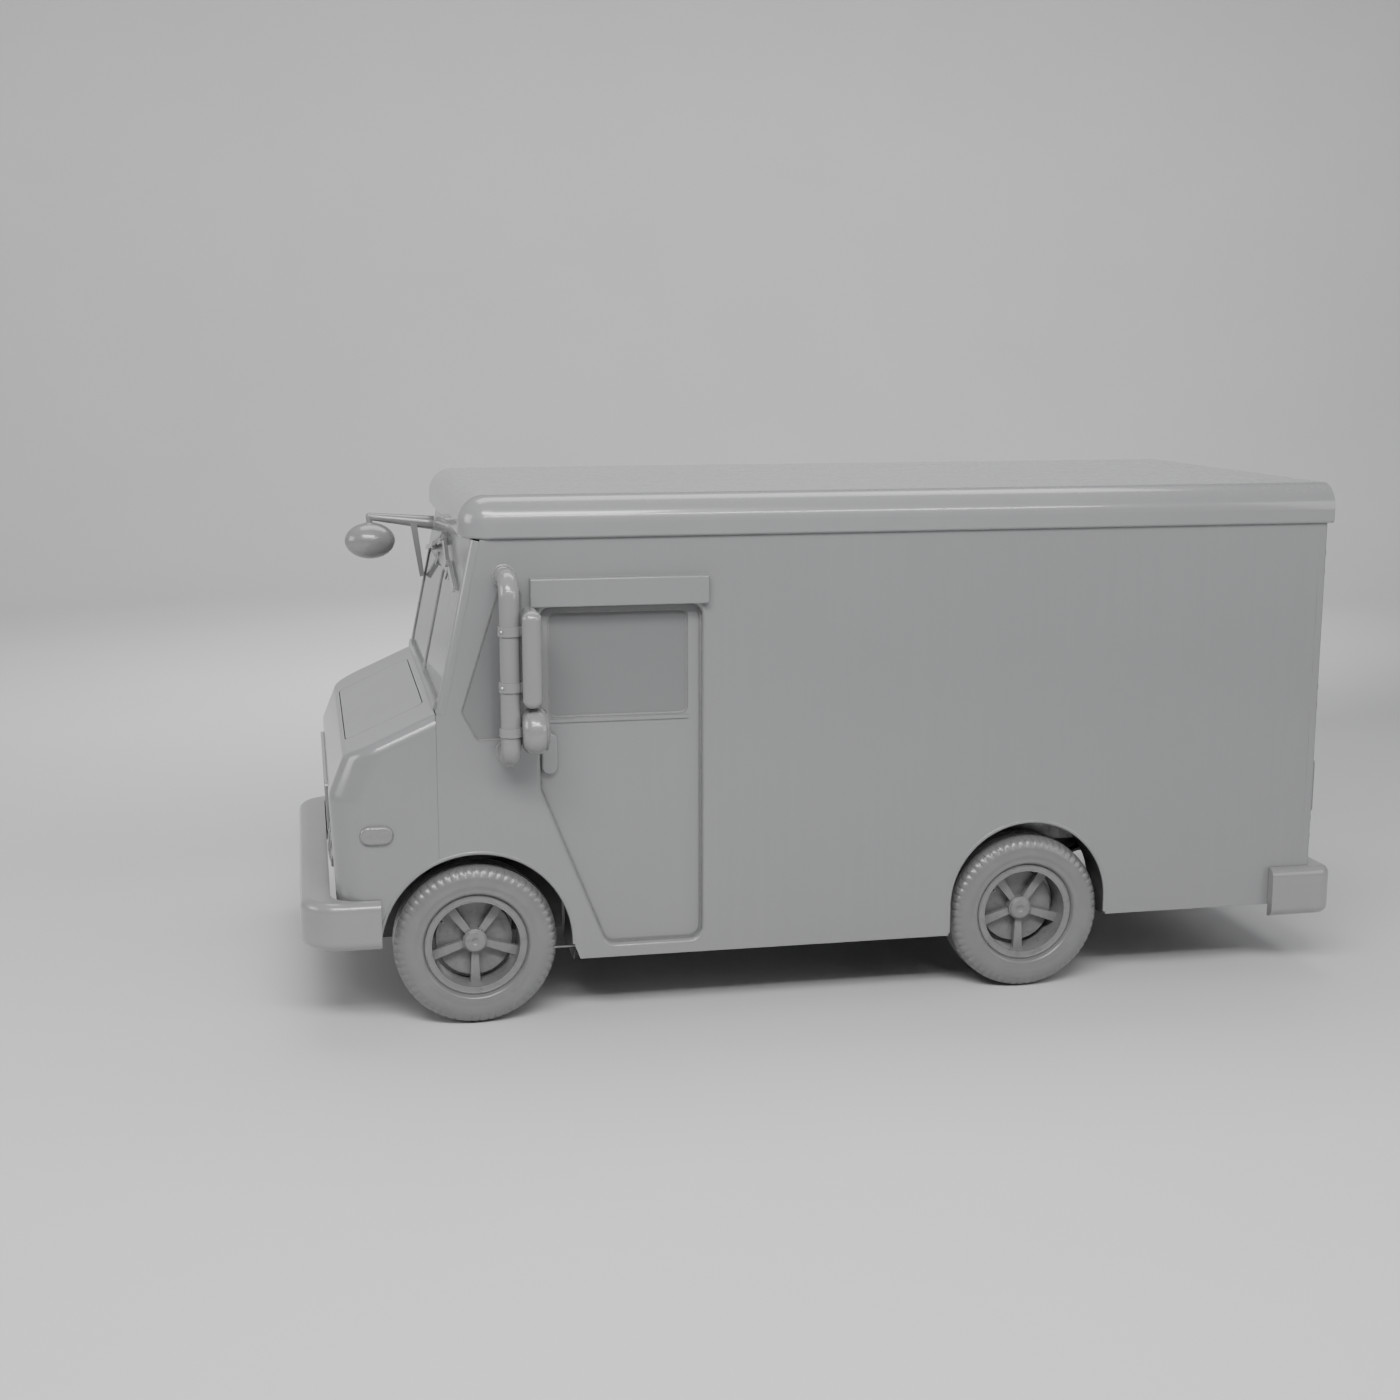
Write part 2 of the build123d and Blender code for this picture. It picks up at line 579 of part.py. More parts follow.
def left_side_panel():
    back = TAIL_X + REAR_FRAME
    seam = FRONT_X + NOSE_SEAM_X - SEAM
    frame_foot = SCREEN_PLANE.from_local_coords((0, 0, -SCREEN_FRAME))
    outline = [
        (back, REAR_SKIRT_Z), (REAR_X - REAR_ARCH_HALF, REAR_SKIRT_Z), (REAR_X - REAR_ARCH_HALF, ROCKER_Z),
        (FRONT_X - 469, ROCKER_Z), (FRONT_X - 314, 693), (FRONT_X, 693), (seam, 693), (seam, COWL_Z),
        (SCREEN_PLANE.origin.X, COWL_Z), (frame_foot.X, frame_foot.Z),
        (screen_x(ROOF_LIP_Z, SCREEN_FRAME), ROOF_LIP_Z),
        (back, ROOF_LIP_Z),
    ]
    with BuildPart() as panel:
        polygon_prism(side_plane(HALF), outline, SIDE_SKIN)
        with BuildSketch(side_plane(HALF + 1)):
            with Locations((FRONT_X - 5, AXLE_Z)):
                Circle(FRONT_ARCH_R)
            with Locations((REAR_X, REAR_ARCH_TOP - REAR_ARCH_HALF)):
                Circle(REAR_ARCH_HALF)
            with Locations((REAR_X, (REAR_ARCH_TOP - REAR_ARCH_HALF) / 2)):
                Rectangle(2 * REAR_ARCH_HALF, REAR_ARCH_TOP - REAR_ARCH_HALF)
        extrude(amount=SIDE_SKIN + 2, mode=Mode.SUBTRACT)
        polygon_prism(side_plane(HALF + 1), doorway_outline(0), SIDE_SKIN + 2, Mode.SUBTRACT,
                      rounding=DOORWAY_CORNER)
        rim_edges = panel.faces().sort_by(Axis.Y)[-1].inner_wires().edges()
        fillet(rim_edges, DOORWAY_ROLL)
        polygon_prism(side_plane(HALF + 1), from_front(QUARTER), SIDE_SKIN + 2, Mode.SUBTRACT, rounding=24)
        with BuildSketch(side_plane(HALF + 1)) as ledge:
            Polygon(*from_front(QUARTER), align=None)
            fillet(ledge.vertices(), 24)
            offset(amount=GLASS_SEAT)
        extrude(amount=GLASS_RECESS + GLASS_THICK + 1, mode=Mode.SUBTRACT)
        add(door_header().part)
        door_track()
    return panel


def door_header():
    """The rain box over the doorway, on the outside."""
    with BuildPart() as header:
        block(FRONT_X + DOOR_REAR - 23, FRONT_X + DOOR_FRONT + 40, HALF - 1, HALF + HEADER_PROUD,
              DOOR_TOP_Z + 4, DOOR_TOP_Z + 129)
        fillet(header.edges().group_by(Axis.Y)[-1], 7)
    return header


def door_track():
    """Inside: the channel that the door hangs in, and the guide under its lower edge."""
    x0, x1 = (FRONT_X + x for x in GUIDE_X)
    outer = SKIN_IN
    inner = DOOR_IN_Y - 2
    block(x0, x1, inner, outer, TRACK_Z, TRACK_Z + TRACK_SIZE)
    block(x0, x1, inner + TRACK_WALL, outer - TRACK_WALL, TRACK_Z + TRACK_WALL,
          TRACK_Z + TRACK_SIZE - TRACK_WALL, mode=Mode.SUBTRACT)
    middle = (DOOR_OUT_Y + DOOR_IN_Y) / 2
    block(x0, x1, middle - TRACK_SLOT / 2, middle + TRACK_SLOT / 2, TRACK_Z - 1, TRACK_Z + TRACK_WALL + 1,
          mode=Mode.SUBTRACT)
    guide_z = DOOR_BOTTOM_Z - DOOR_OVERLAP - 10
    block(x0, FRONT_X + DOOR_FOOT + 60, DOOR_IN_Y - 10, outer, guide_z - 6, guide_z)
    block(x0, FRONT_X + DOOR_FOOT + 60, DOOR_IN_Y - 10, DOOR_IN_Y - 5, guide_z - 6, guide_z + 30)


# ---------------------------------------------------------------- nose, hood, grille, lamps
def nose_block(inset, run_past):
    """The nose as a solid, drawn inset from its skin and run past its open back and bottom."""
    back = NOSE_SEAM_X - run_past
    slope = (COWL_Z - HOOD_EDGE[1]) / (NOSE_SEAM_X - HOOD_EDGE[0])
    with BuildPart() as nose:
        with BuildSketch(side_plane(HALF - inset)) as profile:
            with BuildLine():
                Polyline(*from_front([
                    (back, COWL_Z - slope * run_past), HOOD_EDGE, NOSE_BROW,
                    (NOSE_FOOT[0] - run_past * tan(FACE_LEAN), NOSE_FOOT[1] - run_past),
                    (back, NOSE_FOOT[1] - run_past)]), close=True)
            make_face()
            if inset:
                offset(amount=-inset, kind=Kind.INTERSECTION)
            corners = profile.vertices().sort_by(Axis.X)[-3:]
            fillet(corners.sort_by(Axis.Z)[-2:], 95 - inset)
        extrude(amount=BODY_WIDTH - 2 * inset)
        uprights = nose.edges().filter_by(GeomType.LINE).filter_by(
            lambda e: abs(e.tangent_at(0).Z) > 0.99 and e.center().X > FRONT_X + 500)
        fillet(uprights, NOSE_CORNER_R - inset)
        shoulders = nose.edges().filter_by(GeomType.LINE).filter_by(
            lambda e: abs(e.tangent_at(0).Y) < 0.01 and abs(e.center().Y) > HALF - inset - 1
            and e.center().Z > HOOD_EDGE[1] - 60 and abs(e.tangent_at(0).X) > 0.8)
        fillet(shoulders, SHOULDER_R - inset)
    return nose


def hood_region(gap):
    """Box that the hood is cut from, made smaller by the shut line."""
    with BuildPart() as region:
        block(FRONT_X + HOOD_BACK_X + gap, FRONT_X + HOOD_FRONT_X - gap, gap - HOOD_HALF, HOOD_HALF - gap,
              HOOD_EDGE[1] - 60, COWL_Z + 60)
        fillet(region.edges().filter_by(Axis.Z), 40)
    return region


def nose_skin():
    outer = nose_block(0, 0)
    inner = nose_block(NOSE_SKIN, 2 * NOSE_SKIN)
    with BuildPart() as skin:
        add(outer.part)
        add(inner.part, mode=Mode.SUBTRACT)
    return skin


def nose_shell(skin):
    low = (GRILLE_LOW - NOSE_FOOT[1]) / cos(FACE_LEAN)
    high = (GRILLE_HIGH - NOSE_FOOT[1]) / cos(FACE_LEAN)
    lamp = (HEADLAMP_Z - NOSE_FOOT[1]) / cos(FACE_LEAN)
    with BuildPart() as shell:
        add(skin.part)
        add(hood_region(0).part, mode=Mode.SUBTRACT)
        with BuildSketch(FACE_PLANE.offset(20)):
            with Locations((0, (low + high) / 2)):
                RectangleRounded(2 * GRILLE_HALF, high - low, 24)
            with Locations((-HEADLAMP_Y, lamp), (HEADLAMP_Y, lamp)):
                Circle(HEADLAMP_R)
        extrude(amount=-70, mode=Mode.SUBTRACT)
        with BuildSketch(side_plane(HALF + 1)):
            with Locations((FRONT_X - 5, AXLE_Z)):
                Circle(FRONT_ARCH_R)
        extrude(amount=BODY_WIDTH + 2, mode=Mode.SUBTRACT)
    return shell


def hood(skin):
    with BuildPart() as panel:
        add(skin.part)
        add(hood_region(SHUT_GAP).part, mode=Mode.INTERSECT)
    return panel


def grille():
    low = (GRILLE_LOW - NOSE_FOOT[1]) / cos(FACE_LEAN)
    high = (GRILLE_HIGH - NOSE_FOOT[1]) / cos(FACE_LEAN)
    middle = (low + high) / 2
    rim_width = 26
    with BuildPart() as piece:
        with BuildSketch(FACE_PLANE.offset(-20)):
            with Locations((0, middle)):
                RectangleRounded(2 * GRILLE_HALF - 2, high - low - 2, 23)
                RectangleRounded(2 * (GRILLE_HALF - rim_width), high - low - 2 * rim_width, 8,
                                 mode=Mode.SUBTRACT)
        extrude(amount=20)
        with BuildSketch(FACE_PLANE):
            with Locations((0, middle)):
                RectangleRounded(2 * GRILLE_HALF + 24, high - low + 24, 34)
                RectangleRounded(2 * (GRILLE_HALF - rim_width), high - low - 2 * rim_width, 8,
                                 mode=Mode.SUBTRACT)
        extrude(amount=16)
        fillet(piece.faces().sort_by(Axis.X)[-1].outer_wire().edges(), 6)
        inner_low = low + rim_width
        pitch = (high - low - 2 * rim_width) / (GRILLE_BARS + 1)
        for bar in range(1, GRILLE_BARS + 1):
            with BuildSketch(FACE_PLANE.offset(-16)):
                with Locations((0, inner_low + bar * pitch)):
                    Rectangle(2 * (GRILLE_HALF - rim_width) + 4, pitch * 0.42)
            extrude(amount=24)
        for y in (-GRILLE_HALF / 3, GRILLE_HALF / 3):
            with BuildSketch(FACE_PLANE.offset(-18)):
                with Locations((y, middle)):
                    Rectangle(14, high - low - 2 * rim_width + 4)
            extrude(amount=10)
    return piece


def headlamp(y):
    """Sealed round lamp with a domed lens and a bezel lip on the nose's face."""
    lamp = (HEADLAMP_Z - NOSE_FOOT[1]) / cos(FACE_LEAN)
    centre = FACE_PLANE.from_local_coords((y, lamp, 0))
    section = Plane(origin=centre, x_dir=FACE_PLANE.z_dir, z_dir=FACE_PLANE.x_dir)
    bore = HEADLAMP_R - 1
    dome_r = HEADLAMP_R - 12
    dome_rise = 14
    dome_sphere = (dome_r ** 2 + dome_rise ** 2) / (2 * dome_rise)
    half_rise = dome_rise - dome_sphere + (dome_sphere ** 2 - (dome_r / 2) ** 2) ** 0.5
    with BuildPart() as unit:
        with BuildSketch(section):
            with BuildLine():
                Polyline((-60, 0), (-60, 40), (-24, bore), (0, bore), (0, HEADLAMP_R + 13),
                         (9, HEADLAMP_R + 12), (14, HEADLAMP_R - 2), (8, dome_r))
                ThreePointArc((8, dome_r), (8 + half_rise, dome_r / 2), (8 + dome_rise, 0))
                Line((8 + dome_rise, 0), (-60, 0))
            make_face()
        revolve(axis=Axis(centre, FACE_PLANE.z_dir))
    return unit


def side_marker():
    with BuildPart() as lamp:
        with BuildSketch(Plane(origin=(FRONT_X + 432, HALF, 915), x_dir=(-1, 0, 0), z_dir=(0, 1, 0))):
            SlotOverall(147, 85)
        extrude(amount=20)
        fillet(lamp.faces().sort_by(Axis.Y)[-1].edges(), 14)
    return lamp


def tail_lamp():
    with BuildPart() as lamp:
        block(TAIL_X - 12, TAIL_X, HALF - 68, HALF - 12, 800, 1060)
        fillet(lamp.edges().filter_by(Axis.X), 20)
        fillet(lamp.faces().sort_by(Axis.X)[0].edges(), 5)
    return lamp


# ---------------------------------------------------------------- windscreen and glass
def pane(grow):
    """The left pane's outline on the windscreen plane, grown by a ledge or shrunk by a gap."""
    width = HALF - PILLAR_WIDTH - PANE_INNER
    height = PANE_HIGH - PANE_LOW
    with Locations((PANE_INNER + width / 2, (PANE_LOW + PANE_HIGH) / 2)):
        RectangleRounded(width + 2 * grow, height + 2 * grow, 45 + grow)


def windscreen_frame():
    with BuildPart() as frame:
        with BuildSketch(SCREEN_PLANE):
            with Locations((0, SCREEN_HEIGHT / 2)):
                Rectangle(BODY_WIDTH, SCREEN_HEIGHT)
        extrude(amount=-SCREEN_FRAME)
        uprights = frame.edges().filter_by(GeomType.LINE).filter_by(
            lambda e: abs(e.tangent_at(0).Z) > 0.9).sort_by(Axis.X)[-2:]
        fillet(uprights, 34)
        for flip in (False, True):
            face = SCREEN_PLANE if not flip else Plane(
                origin=SCREEN_PLANE.origin, x_dir=(0, -1, 0), z_dir=-SCREEN_PLANE.z_dir)
            sign = -1 if not flip else 1
            with BuildSketch(face):
                pane(0)
            extrude(amount=sign * SCREEN_FRAME, mode=Mode.SUBTRACT)
            with BuildSketch(face):
                pane(GLASS_SEAT)
            extrude(amount=sign * (GLASS_RECESS + GLASS_THICK), mode=Mode.SUBTRACT)
        with BuildSketch(SCREEN_PLANE.offset(0)):
            with Locations((0, 28)):
                Rectangle(2 * (HALF - PILLAR_WIDTH), 34)
        extrude(amount=12)
        with BuildSketch(SCREEN_PLANE):
            with Locations((-310, 558), (310, 558)):
                Circle(34)
        extrude(amount=8)
        for side in (-1, 1):
            with BuildSketch(SCREEN_PLANE.offset(-1)):
                with Locations((side * WIPER_PIVOT_Y, WIPER_PIVOT_UP)):
                    Circle(26)
            extrude(amount=9)
            with BuildSketch(SCREEN_PLANE.offset(-1)):
                with Locations((side * WIPER_PIVOT_Y, WIPER_PIVOT_UP)):
                    Circle(8)
            extrude(amount=36)
    return frame


def windscreen_pane():
    with BuildPart() as glass:
        with BuildSketch(SCREEN_PLANE.offset(-GLASS_RECESS)):
            pane(GLASS_SEAT - GLASS_GAP)
        extrude(amount=-GLASS_THICK)
    return glass


def quarter_pane():
    with BuildPart() as glass:
        with BuildSketch(side_plane(HALF - GLASS_RECESS)) as outline:
            Polygon(*from_front(QUARTER), align=None)
            fillet(outline.vertices(), 24)
            offset(amount=GLASS_SEAT - GLASS_GAP)
        extrude(amount=GLASS_THICK)
    return glass


def fixed_glass():
    front = windscreen_pane()
    quarter = quarter_pane()
    return together(front, right_hand(front), quarter, right_hand(quarter))


def wiper(side):
    """Arm from the pivot to the bend, and the blade that the arm's end carries."""
    pivot = Vector(side * WIPER_PIVOT_Y, WIPER_PIVOT_UP)
    bend = Vector(side * WIPER_BEND[0], WIPER_BEND[1])
    tip = Vector(side * WIPER_TIP[0], WIPER_TIP[1])
    start = bend - (tip - bend) * 0.14
    with BuildPart() as arm:
        with BuildSketch(SCREEN_PLANE.offset(10)):
            with Locations((pivot.X, pivot.Y)):
                Circle(22)
        extrude(amount=20)
        bar(pivot, bend, 22, 12, 18)
        with BuildSketch(SCREEN_PLANE.offset(9)):
            with Locations((bend.X, bend.Y)):
                Circle(17)
        extrude(amount=21)
        bar(start, tip, 26, 10, 12)
        bar(start, tip, 8, 3, 9)
        with BuildSketch(SCREEN_PLANE.offset(-2)):
            with Locations((pivot.X, pivot.Y)):
                Circle(8 + RUNNING_FIT)
        extrude(amount=60, mode=Mode.SUBTRACT)
    return arm


def bar(start, end, width, low, thick):
    """A straight bar on the windscreen plane from one point to another."""
    along = end - start
    turn = degrees(atan(along.Y / along.X))
    middle = (start + end) * 0.5
    with BuildSketch(SCREEN_PLANE.offset(low)) as strip:
        with Locations(Location((middle.X, middle.Y), turn)):
            Rectangle(along.length, width)
    extrude(strip.sketch, amount=thick)


# ---------------------------------------------------------------- roof
LIP_PROUD = 25.0
ROOF_SIDE_R = 120.0
ROOF_CORNER_R = 150.0
ROOF_SKIN = 32.0


def roof_block(inset, crown, back):
    """The cap's outline as a solid, inset from its outer skin and cut off square at the back."""
    front = screen_x(ROOF_LIP_Z, 0) + 46 - inset
    half = HALF + LIP_PROUD - inset
    with BuildPart() as mass:
        with BuildSketch(Plane.XY.offset(ROOF_LIP_Z)) as plan:
            with Locations(((front + back) / 2, 0)):
                Rectangle(front - back, 2 * half)
            fillet(plan.vertices().sort_by(Axis.X)[-2:], ROOF_CORNER_R - inset)
        extrude(amount=ROOF_TOP_Z - ROOF_LIP_Z - crown)
        top = mass.faces().sort_by(Axis.Z)[-1].edges()
        fillet(top.filter_by(lambda e: e.center().X > back + 1), ROOF_SIDE_R - inset)
    return mass


def roof_cap():
    """Moulded cap: overhanging lip, rolled sides and front, and a rim that sits on the walls."""
    back = TAIL_X - 18
    outer = roof_block(0, 0, back)
    hollow = roof_block(ROOF_SKIN + LIP_PROUD, ROOF_SKIN, back + ROOF_SKIN + LIP_PROUD)
    with BuildPart() as cap:
        add(outer.part)
        low = cap.faces().sort_by(Axis.Z)[0].edges()
        fillet(low.filter_by(lambda e: e.center().X > back + 1), 18)
        add(hollow.part, mode=Mode.SUBTRACT)
    return cap


# ---------------------------------------------------------------- rear frame and doors
def rear_frame():
    with BuildPart() as frame:
        block(TAIL_X, TAIL_X + REAR_FRAME, -HALF, HALF, REAR_SKIRT_Z, ROOF_LIP_Z)
        fillet(frame.edges().filter_by(Axis.Z).sort_by(Axis.X)[:2], 10)
        block(TAIL_X - 1, TAIL_X + REAR_FRAME + 1, -PORTAL_HALF, PORTAL_HALF, PORTAL_LOW, PORTAL_HIGH,
              mode=Mode.SUBTRACT)
        for side in (-1, 1):
            for z in HINGE_HEIGHTS:
                for end in (-1, 1):
                    mid = z + end * 46
                    with Locations((HINGE_X, side * PORTAL_HALF, mid)):
                        Cylinder(HINGE_BARREL_R, 28)
                    block(HINGE_X - 4, HINGE_X + 4, side * PORTAL_HALF, side * (PORTAL_HALF + 52),
                          mid - 14, mid + 14)
                    block(HINGE_X - 4, TAIL_X, side * (PORTAL_HALF + 36), side * (PORTAL_HALF + 52),
                          mid - 14, mid + 14)
                with Locations((HINGE_X, side * PORTAL_HALF, z)):
                    Cylinder(HINGE_PIN_R, 110)
    return frame


REAR_WINDOW = (250.0, 760.0, 1420.0, 1960.0)


def left_rear_door():
    y0, y1, z0, z1 = REAR_WINDOW
    inner = TAIL_X + REAR_DOOR_THICK
    with BuildPart() as door:
        block(TAIL_X, inner, SHUT_GAP / 2, PORTAL_SIDE, PORTAL_LOW + SHUT_GAP, PORTAL_HIGH - SHUT_GAP)
        with BuildSketch(front_plane(TAIL_X - 1)):
            with Locations(((y0 + y1) / 2, (z0 + z1) / 2)):
                RectangleRounded(y1 - y0, z1 - z0, 40)
        extrude(amount=REAR_DOOR_THICK + 2, mode=Mode.SUBTRACT)
        with BuildSketch(front_plane(TAIL_X)):
            with Locations(((y0 + y1) / 2, 1020)):
                RectangleRounded(y1 - y0 + 120, 560, 30)
        extrude(amount=6, mode=Mode.SUBTRACT)
        for z in HINGE_HEIGHTS:
            with Locations((HINGE_X, PORTAL_HALF, z)):
                Cylinder(HINGE_BARREL_R, 60)
            block(HINGE_X - 4, HINGE_X + 4, PORTAL_HALF - 90, PORTAL_HALF, z - 30, z + 30)
            block(HINGE_X + 3, TAIL_X, PORTAL_HALF - 90, PORTAL_HALF - 30, z - 30, z + 30)
            with Locations((HINGE_X, PORTAL_HALF, z)):
                Cylinder(HINGE_PIN_R + RUNNING_FIT, 70, mode=Mode.SUBTRACT)
    return door


def rear_window():
    y0, y1, z0, z1 = REAR_WINDOW
    with BuildPart() as glass:
        with BuildSketch(front_plane(TAIL_X + 14)):
            with Locations(((y0 + y1) / 2, (z0 + z1) / 2)):
                RectangleRounded(y1 - y0 - 1, z1 - z0 - 1, 39.5)
        extrude(amount=GLASS_THICK)
    return glass


HANDLE_SPOT = (-130.0, 1180.0)


def rear_door_handle():
    """Lever that turns on a round boss, with a grip bent out from the door."""
    y, z = HANDLE_SPOT
    with BuildPart() as handle:
        with BuildSketch(front_plane(TAIL_X - 0.4)):
            with Locations((y, z)):
                Circle(26)
        extrude(amount=-16)
        with BuildSketch(front_plane(TAIL_X - 16.4)):
            with Locations((y, z - 60)):
                SlotOverall(170, 30, rotation=90)
        extrude(amount=-16)
        fillet(handle.faces().sort_by(Axis.X)[0].edges(), 6)
    return handle


# ---------------------------------------------------------------- bumpers
BUMPER_PROUD = 50.0


def bumper(inner_x, face_x, end_x, low, high, corner):
    """A moulded bar that wraps round a corner of the body at both sides."""
    ahead = 1 if face_x > inner_x else -1
    clear = HALF + 3
    with BuildPart() as bar_part:
        with BuildSketch(Plane.XY.offset(low)) as plan:
            with Locations(((end_x + face_x) / 2, 0)):
                Rectangle(abs(face_x - end_x), 2 * (HALF + BUMPER_PROUD))
            ends = plan.vertices().sort_by(Axis.X)
            fillet(ends[-2:] if ahead > 0 else ends[:2], corner)
        extrude(amount=high - low)
        outline = bar_part.faces().filter_by(Axis.Z).edges().filter_by(
            lambda e: abs(e.center().X - end_x) > 1)
        fillet(outline, 44)
        with BuildSketch(Plane.XY.offset(low - 1)) as hollow:
            with Locations(((end_x - ahead * 10 + inner_x) / 2, 0)):
                Rectangle(abs(inner_x - end_x) + 10, 2 * clear)
            ends = hollow.vertices().sort_by(Axis.X)
            fillet(ends[-2:] if ahead > 0 else ends[:2], max(corner - BUMPER_PROUD, 10))
        extrude(amount=high - low + 2, mode=Mode.SUBTRACT)
    return bar_part


def front_bumper():
    return bumper(FRONT_X + NOSE_LENGTH + 6, FRONT_X + FRONT_OVERHANG, FRONT_X + 422, 397, 620,
                  NOSE_CORNER_R + 40)


def rear_bumper():
    return bumper(TAIL_X - 3, -LENGTH / 2, TAIL_X + 211, 294, 536, 70)


# ---------------------------------------------------------------- side doors
DOOR_GLASS = (-354.0, -966.0, 1415.0, 1872.0)
HANDLE_X = -343.0
HANDLE_TOP_Z = 1306.0
HANDLE_R = 38.0
HANDLE_DROP = 116.0
STEM_R = 9.0


def door_pane(grow):
    x0, x1, z0, z1 = DOOR_GLASS
    with Locations((FRONT_X + (x0 + x1) / 2, (z0 + z1) / 2)):
        RectangleRounded(x0 - x1 + 2 * grow, z1 - z0 + 2 * grow, 24 + grow)


def left_door():
    x0, x1, z0, z1 = DOOR_GLASS
    middle = (DOOR_OUT_Y + DOOR_IN_Y) / 2
    with BuildPart() as door:
        polygon_prism(side_plane(DOOR_OUT_Y), doorway_outline(DOOR_OVERLAP), DOOR_THICK, rounding=30)
        with BuildSketch(side_plane(DOOR_OUT_Y + 1)):
            door_pane(0)
        extrude(amount=DOOR_THICK + 2, mode=Mode.SUBTRACT)
        with BuildSketch(side_plane(DOOR_OUT_Y + 1)):
            door_pane(GLASS_SEAT)
        extrude(amount=GLASS_RECESS + GLASS_THICK + 5, mode=Mode.SUBTRACT)
        block(FRONT_X + x1 - 10, FRONT_X + x0 + 10, DOOR_OUT_Y - 2, DOOR_OUT_Y + 7, z0 - 32, z0 - 16)
        for x in (DOOR_FRONT - 90, DOOR_REAR + 90):
            hang = FRONT_X + x
            block(hang - 22, hang + 22, middle - 4, middle + 4, DOOR_TOP_Z, TRACK_Z + 26)
            with Locations(Location((hang, middle, TRACK_Z + TRACK_SIZE / 2), (90, 0, 0))):
                Cylinder(TRACK_SIZE / 2 - TRACK_WALL - 2, 22)
        with Locations(Location((FRONT_X + HANDLE_X, middle, HANDLE_TOP_Z), (90, 0, 0))):
            Cylinder(STEM_R + RUNNING_FIT, 2 * DOOR_THICK, mode=Mode.SUBTRACT)
    return door


def left_door_glass():
    with BuildPart() as glass:
        with BuildSketch(side_plane(DOOR_OUT_Y - GLASS_RECESS - 4)):
            door_pane(GLASS_SEAT - GLASS_GAP)
        extrude(amount=GLASS_THICK)
    return glass


def left_door_handle():
    """A pill-shaped lever that hangs from its stem, which turns in the door."""
    out = DOOR_OUT_Y + 3
    with BuildPart() as handle:
        with BuildSketch(Plane(origin=(FRONT_X + HANDLE_X, out, HANDLE_TOP_Z - HANDLE_DROP / 2),
                               x_dir=(-1, 0, 0), z_dir=(0, 1, 0))):
            SlotOverall(HANDLE_DROP + 2 * HANDLE_R, 2 * HANDLE_R, rotation=90)
        extrude(amount=34)
        fillet(handle.faces().sort_by(Axis.Y)[-1].edges(), 14)
        with Locations(Location((FRONT_X + HANDLE_X, out - 19, HANDLE_TOP_Z), (90, 0, 0))):
            Cylinder(STEM_R, 42)
    return handle


# ---------------------------------------------------------------- mirrors
ARM_X = -150.0
ARM_R = 44.0
ARM_FOOT = (6.0, 6.0)           # how far the foot stands out round the arm, and its thickness
ARM_REACH = 200.0
ARM_TOP_Z = 2052.0
ARM_LOW_Z = 1270.0
ARM_BEND_R = 78.0
COLLAR_R = 51.0
COLLAR_GAP = 0.4
HEAD_DEPTH = 86.0
HEAD_WIDTH = 190.0
HEAD_LOW = 1506.0
HEAD_HIGH = 1929.0
ROUND_Z = 1398.0
ROUND_R = 104.0
ROUND_THICK = 120.0


def side_mirror_arm():
    x = FRONT_X + ARM_X
    y = HALF + ARM_REACH
    with BuildPart() as arm:
        with BuildLine() as route:
            FilletPolyline((x, HALF, ARM_TOP_Z), (x, y, ARM_TOP_Z), (x, y, ARM_LOW_Z), (x, HALF, ARM_LOW_Z),
                           radius=ARM_BEND_R)
        with BuildSketch(Plane(route.line @ 0, z_dir=route.line % 0)):
            Circle(ARM_R)
        sweep()
        for z in (ARM_TOP_Z, ARM_LOW_Z):
            with Locations(Location((x, HALF + ARM_FOOT[1] / 2, z), (90, 0, 0))):
                Cylinder(ARM_R + ARM_FOOT[0], ARM_FOOT[1])
    return arm


CROSS_Y = -950.0
CROSS_ARM_Z = 2100.0
CROSS_ROOT_R = 38.0
CROSS_ELBOW_R = 20.0
CROSS_TIP_R = 16.0
CROSS_DROP = 28.0               # elbow down to the arm's end above the mirror
CROSS_TIP_GAP = 4.0
CROSS_BRACE = 60.0
CROSS_BRACE_Z = 1850.0
CROSS_BRACE_X = 120.0
CROSS_HEAD = (354.0, 2021.0)
CROSS_HALF = (133.0, 97.0)


def crossview_arm():
    """Tapered arm from the windscreen header out over the nose, with a brace below it."""
    root = Vector(screen_x(CROSS_ARM_Z, 0) + 3, CROSS_Y, CROSS_ARM_Z + 10)
    tip_z = CROSS_HEAD[1] + CROSS_HALF[1] + CROSS_TIP_GAP
    elbow = Vector(FRONT_X + CROSS_HEAD[0], CROSS_Y, tip_z + CROSS_DROP)
    along = (elbow - root).normalized()
    with BuildPart() as arm:
        with BuildSketch(Plane(origin=root, x_dir=(0, 1, 0), z_dir=along)):
            Circle(CROSS_ROOT_R)
        with BuildSketch(Plane(origin=elbow, x_dir=(0, 1, 0), z_dir=along)):
            Circle(CROSS_ELBOW_R)
        loft()
        with Locations(elbow):
            Sphere(CROSS_ELBOW_R)
        with Locations(Location((elbow.X, CROSS_Y, tip_z + CROSS_DROP / 2))):
            Cone(CROSS_TIP_R, CROSS_ELBOW_R, CROSS_DROP)
    foot = (screen_x(CROSS_BRACE_Z, 0) + 14, CROSS_BRACE_Z)
    head = (FRONT_X + CROSS_BRACE_X, CROSS_ARM_Z + 14)
    with BuildPart() as brace:
        polygon_prism(side_plane(CROSS_Y + CROSS_BRACE / 2), [
            (foot[0] - 10, foot[1] - 18), (foot[0] + 14, foot[1] - 24), (head[0] + 22, head[1]),
            (head[0] - 12, head[1] + 8)], CROSS_BRACE)
    with BuildPart() as joined:
        add(arm.part)
        add(brace.part)
    return joined


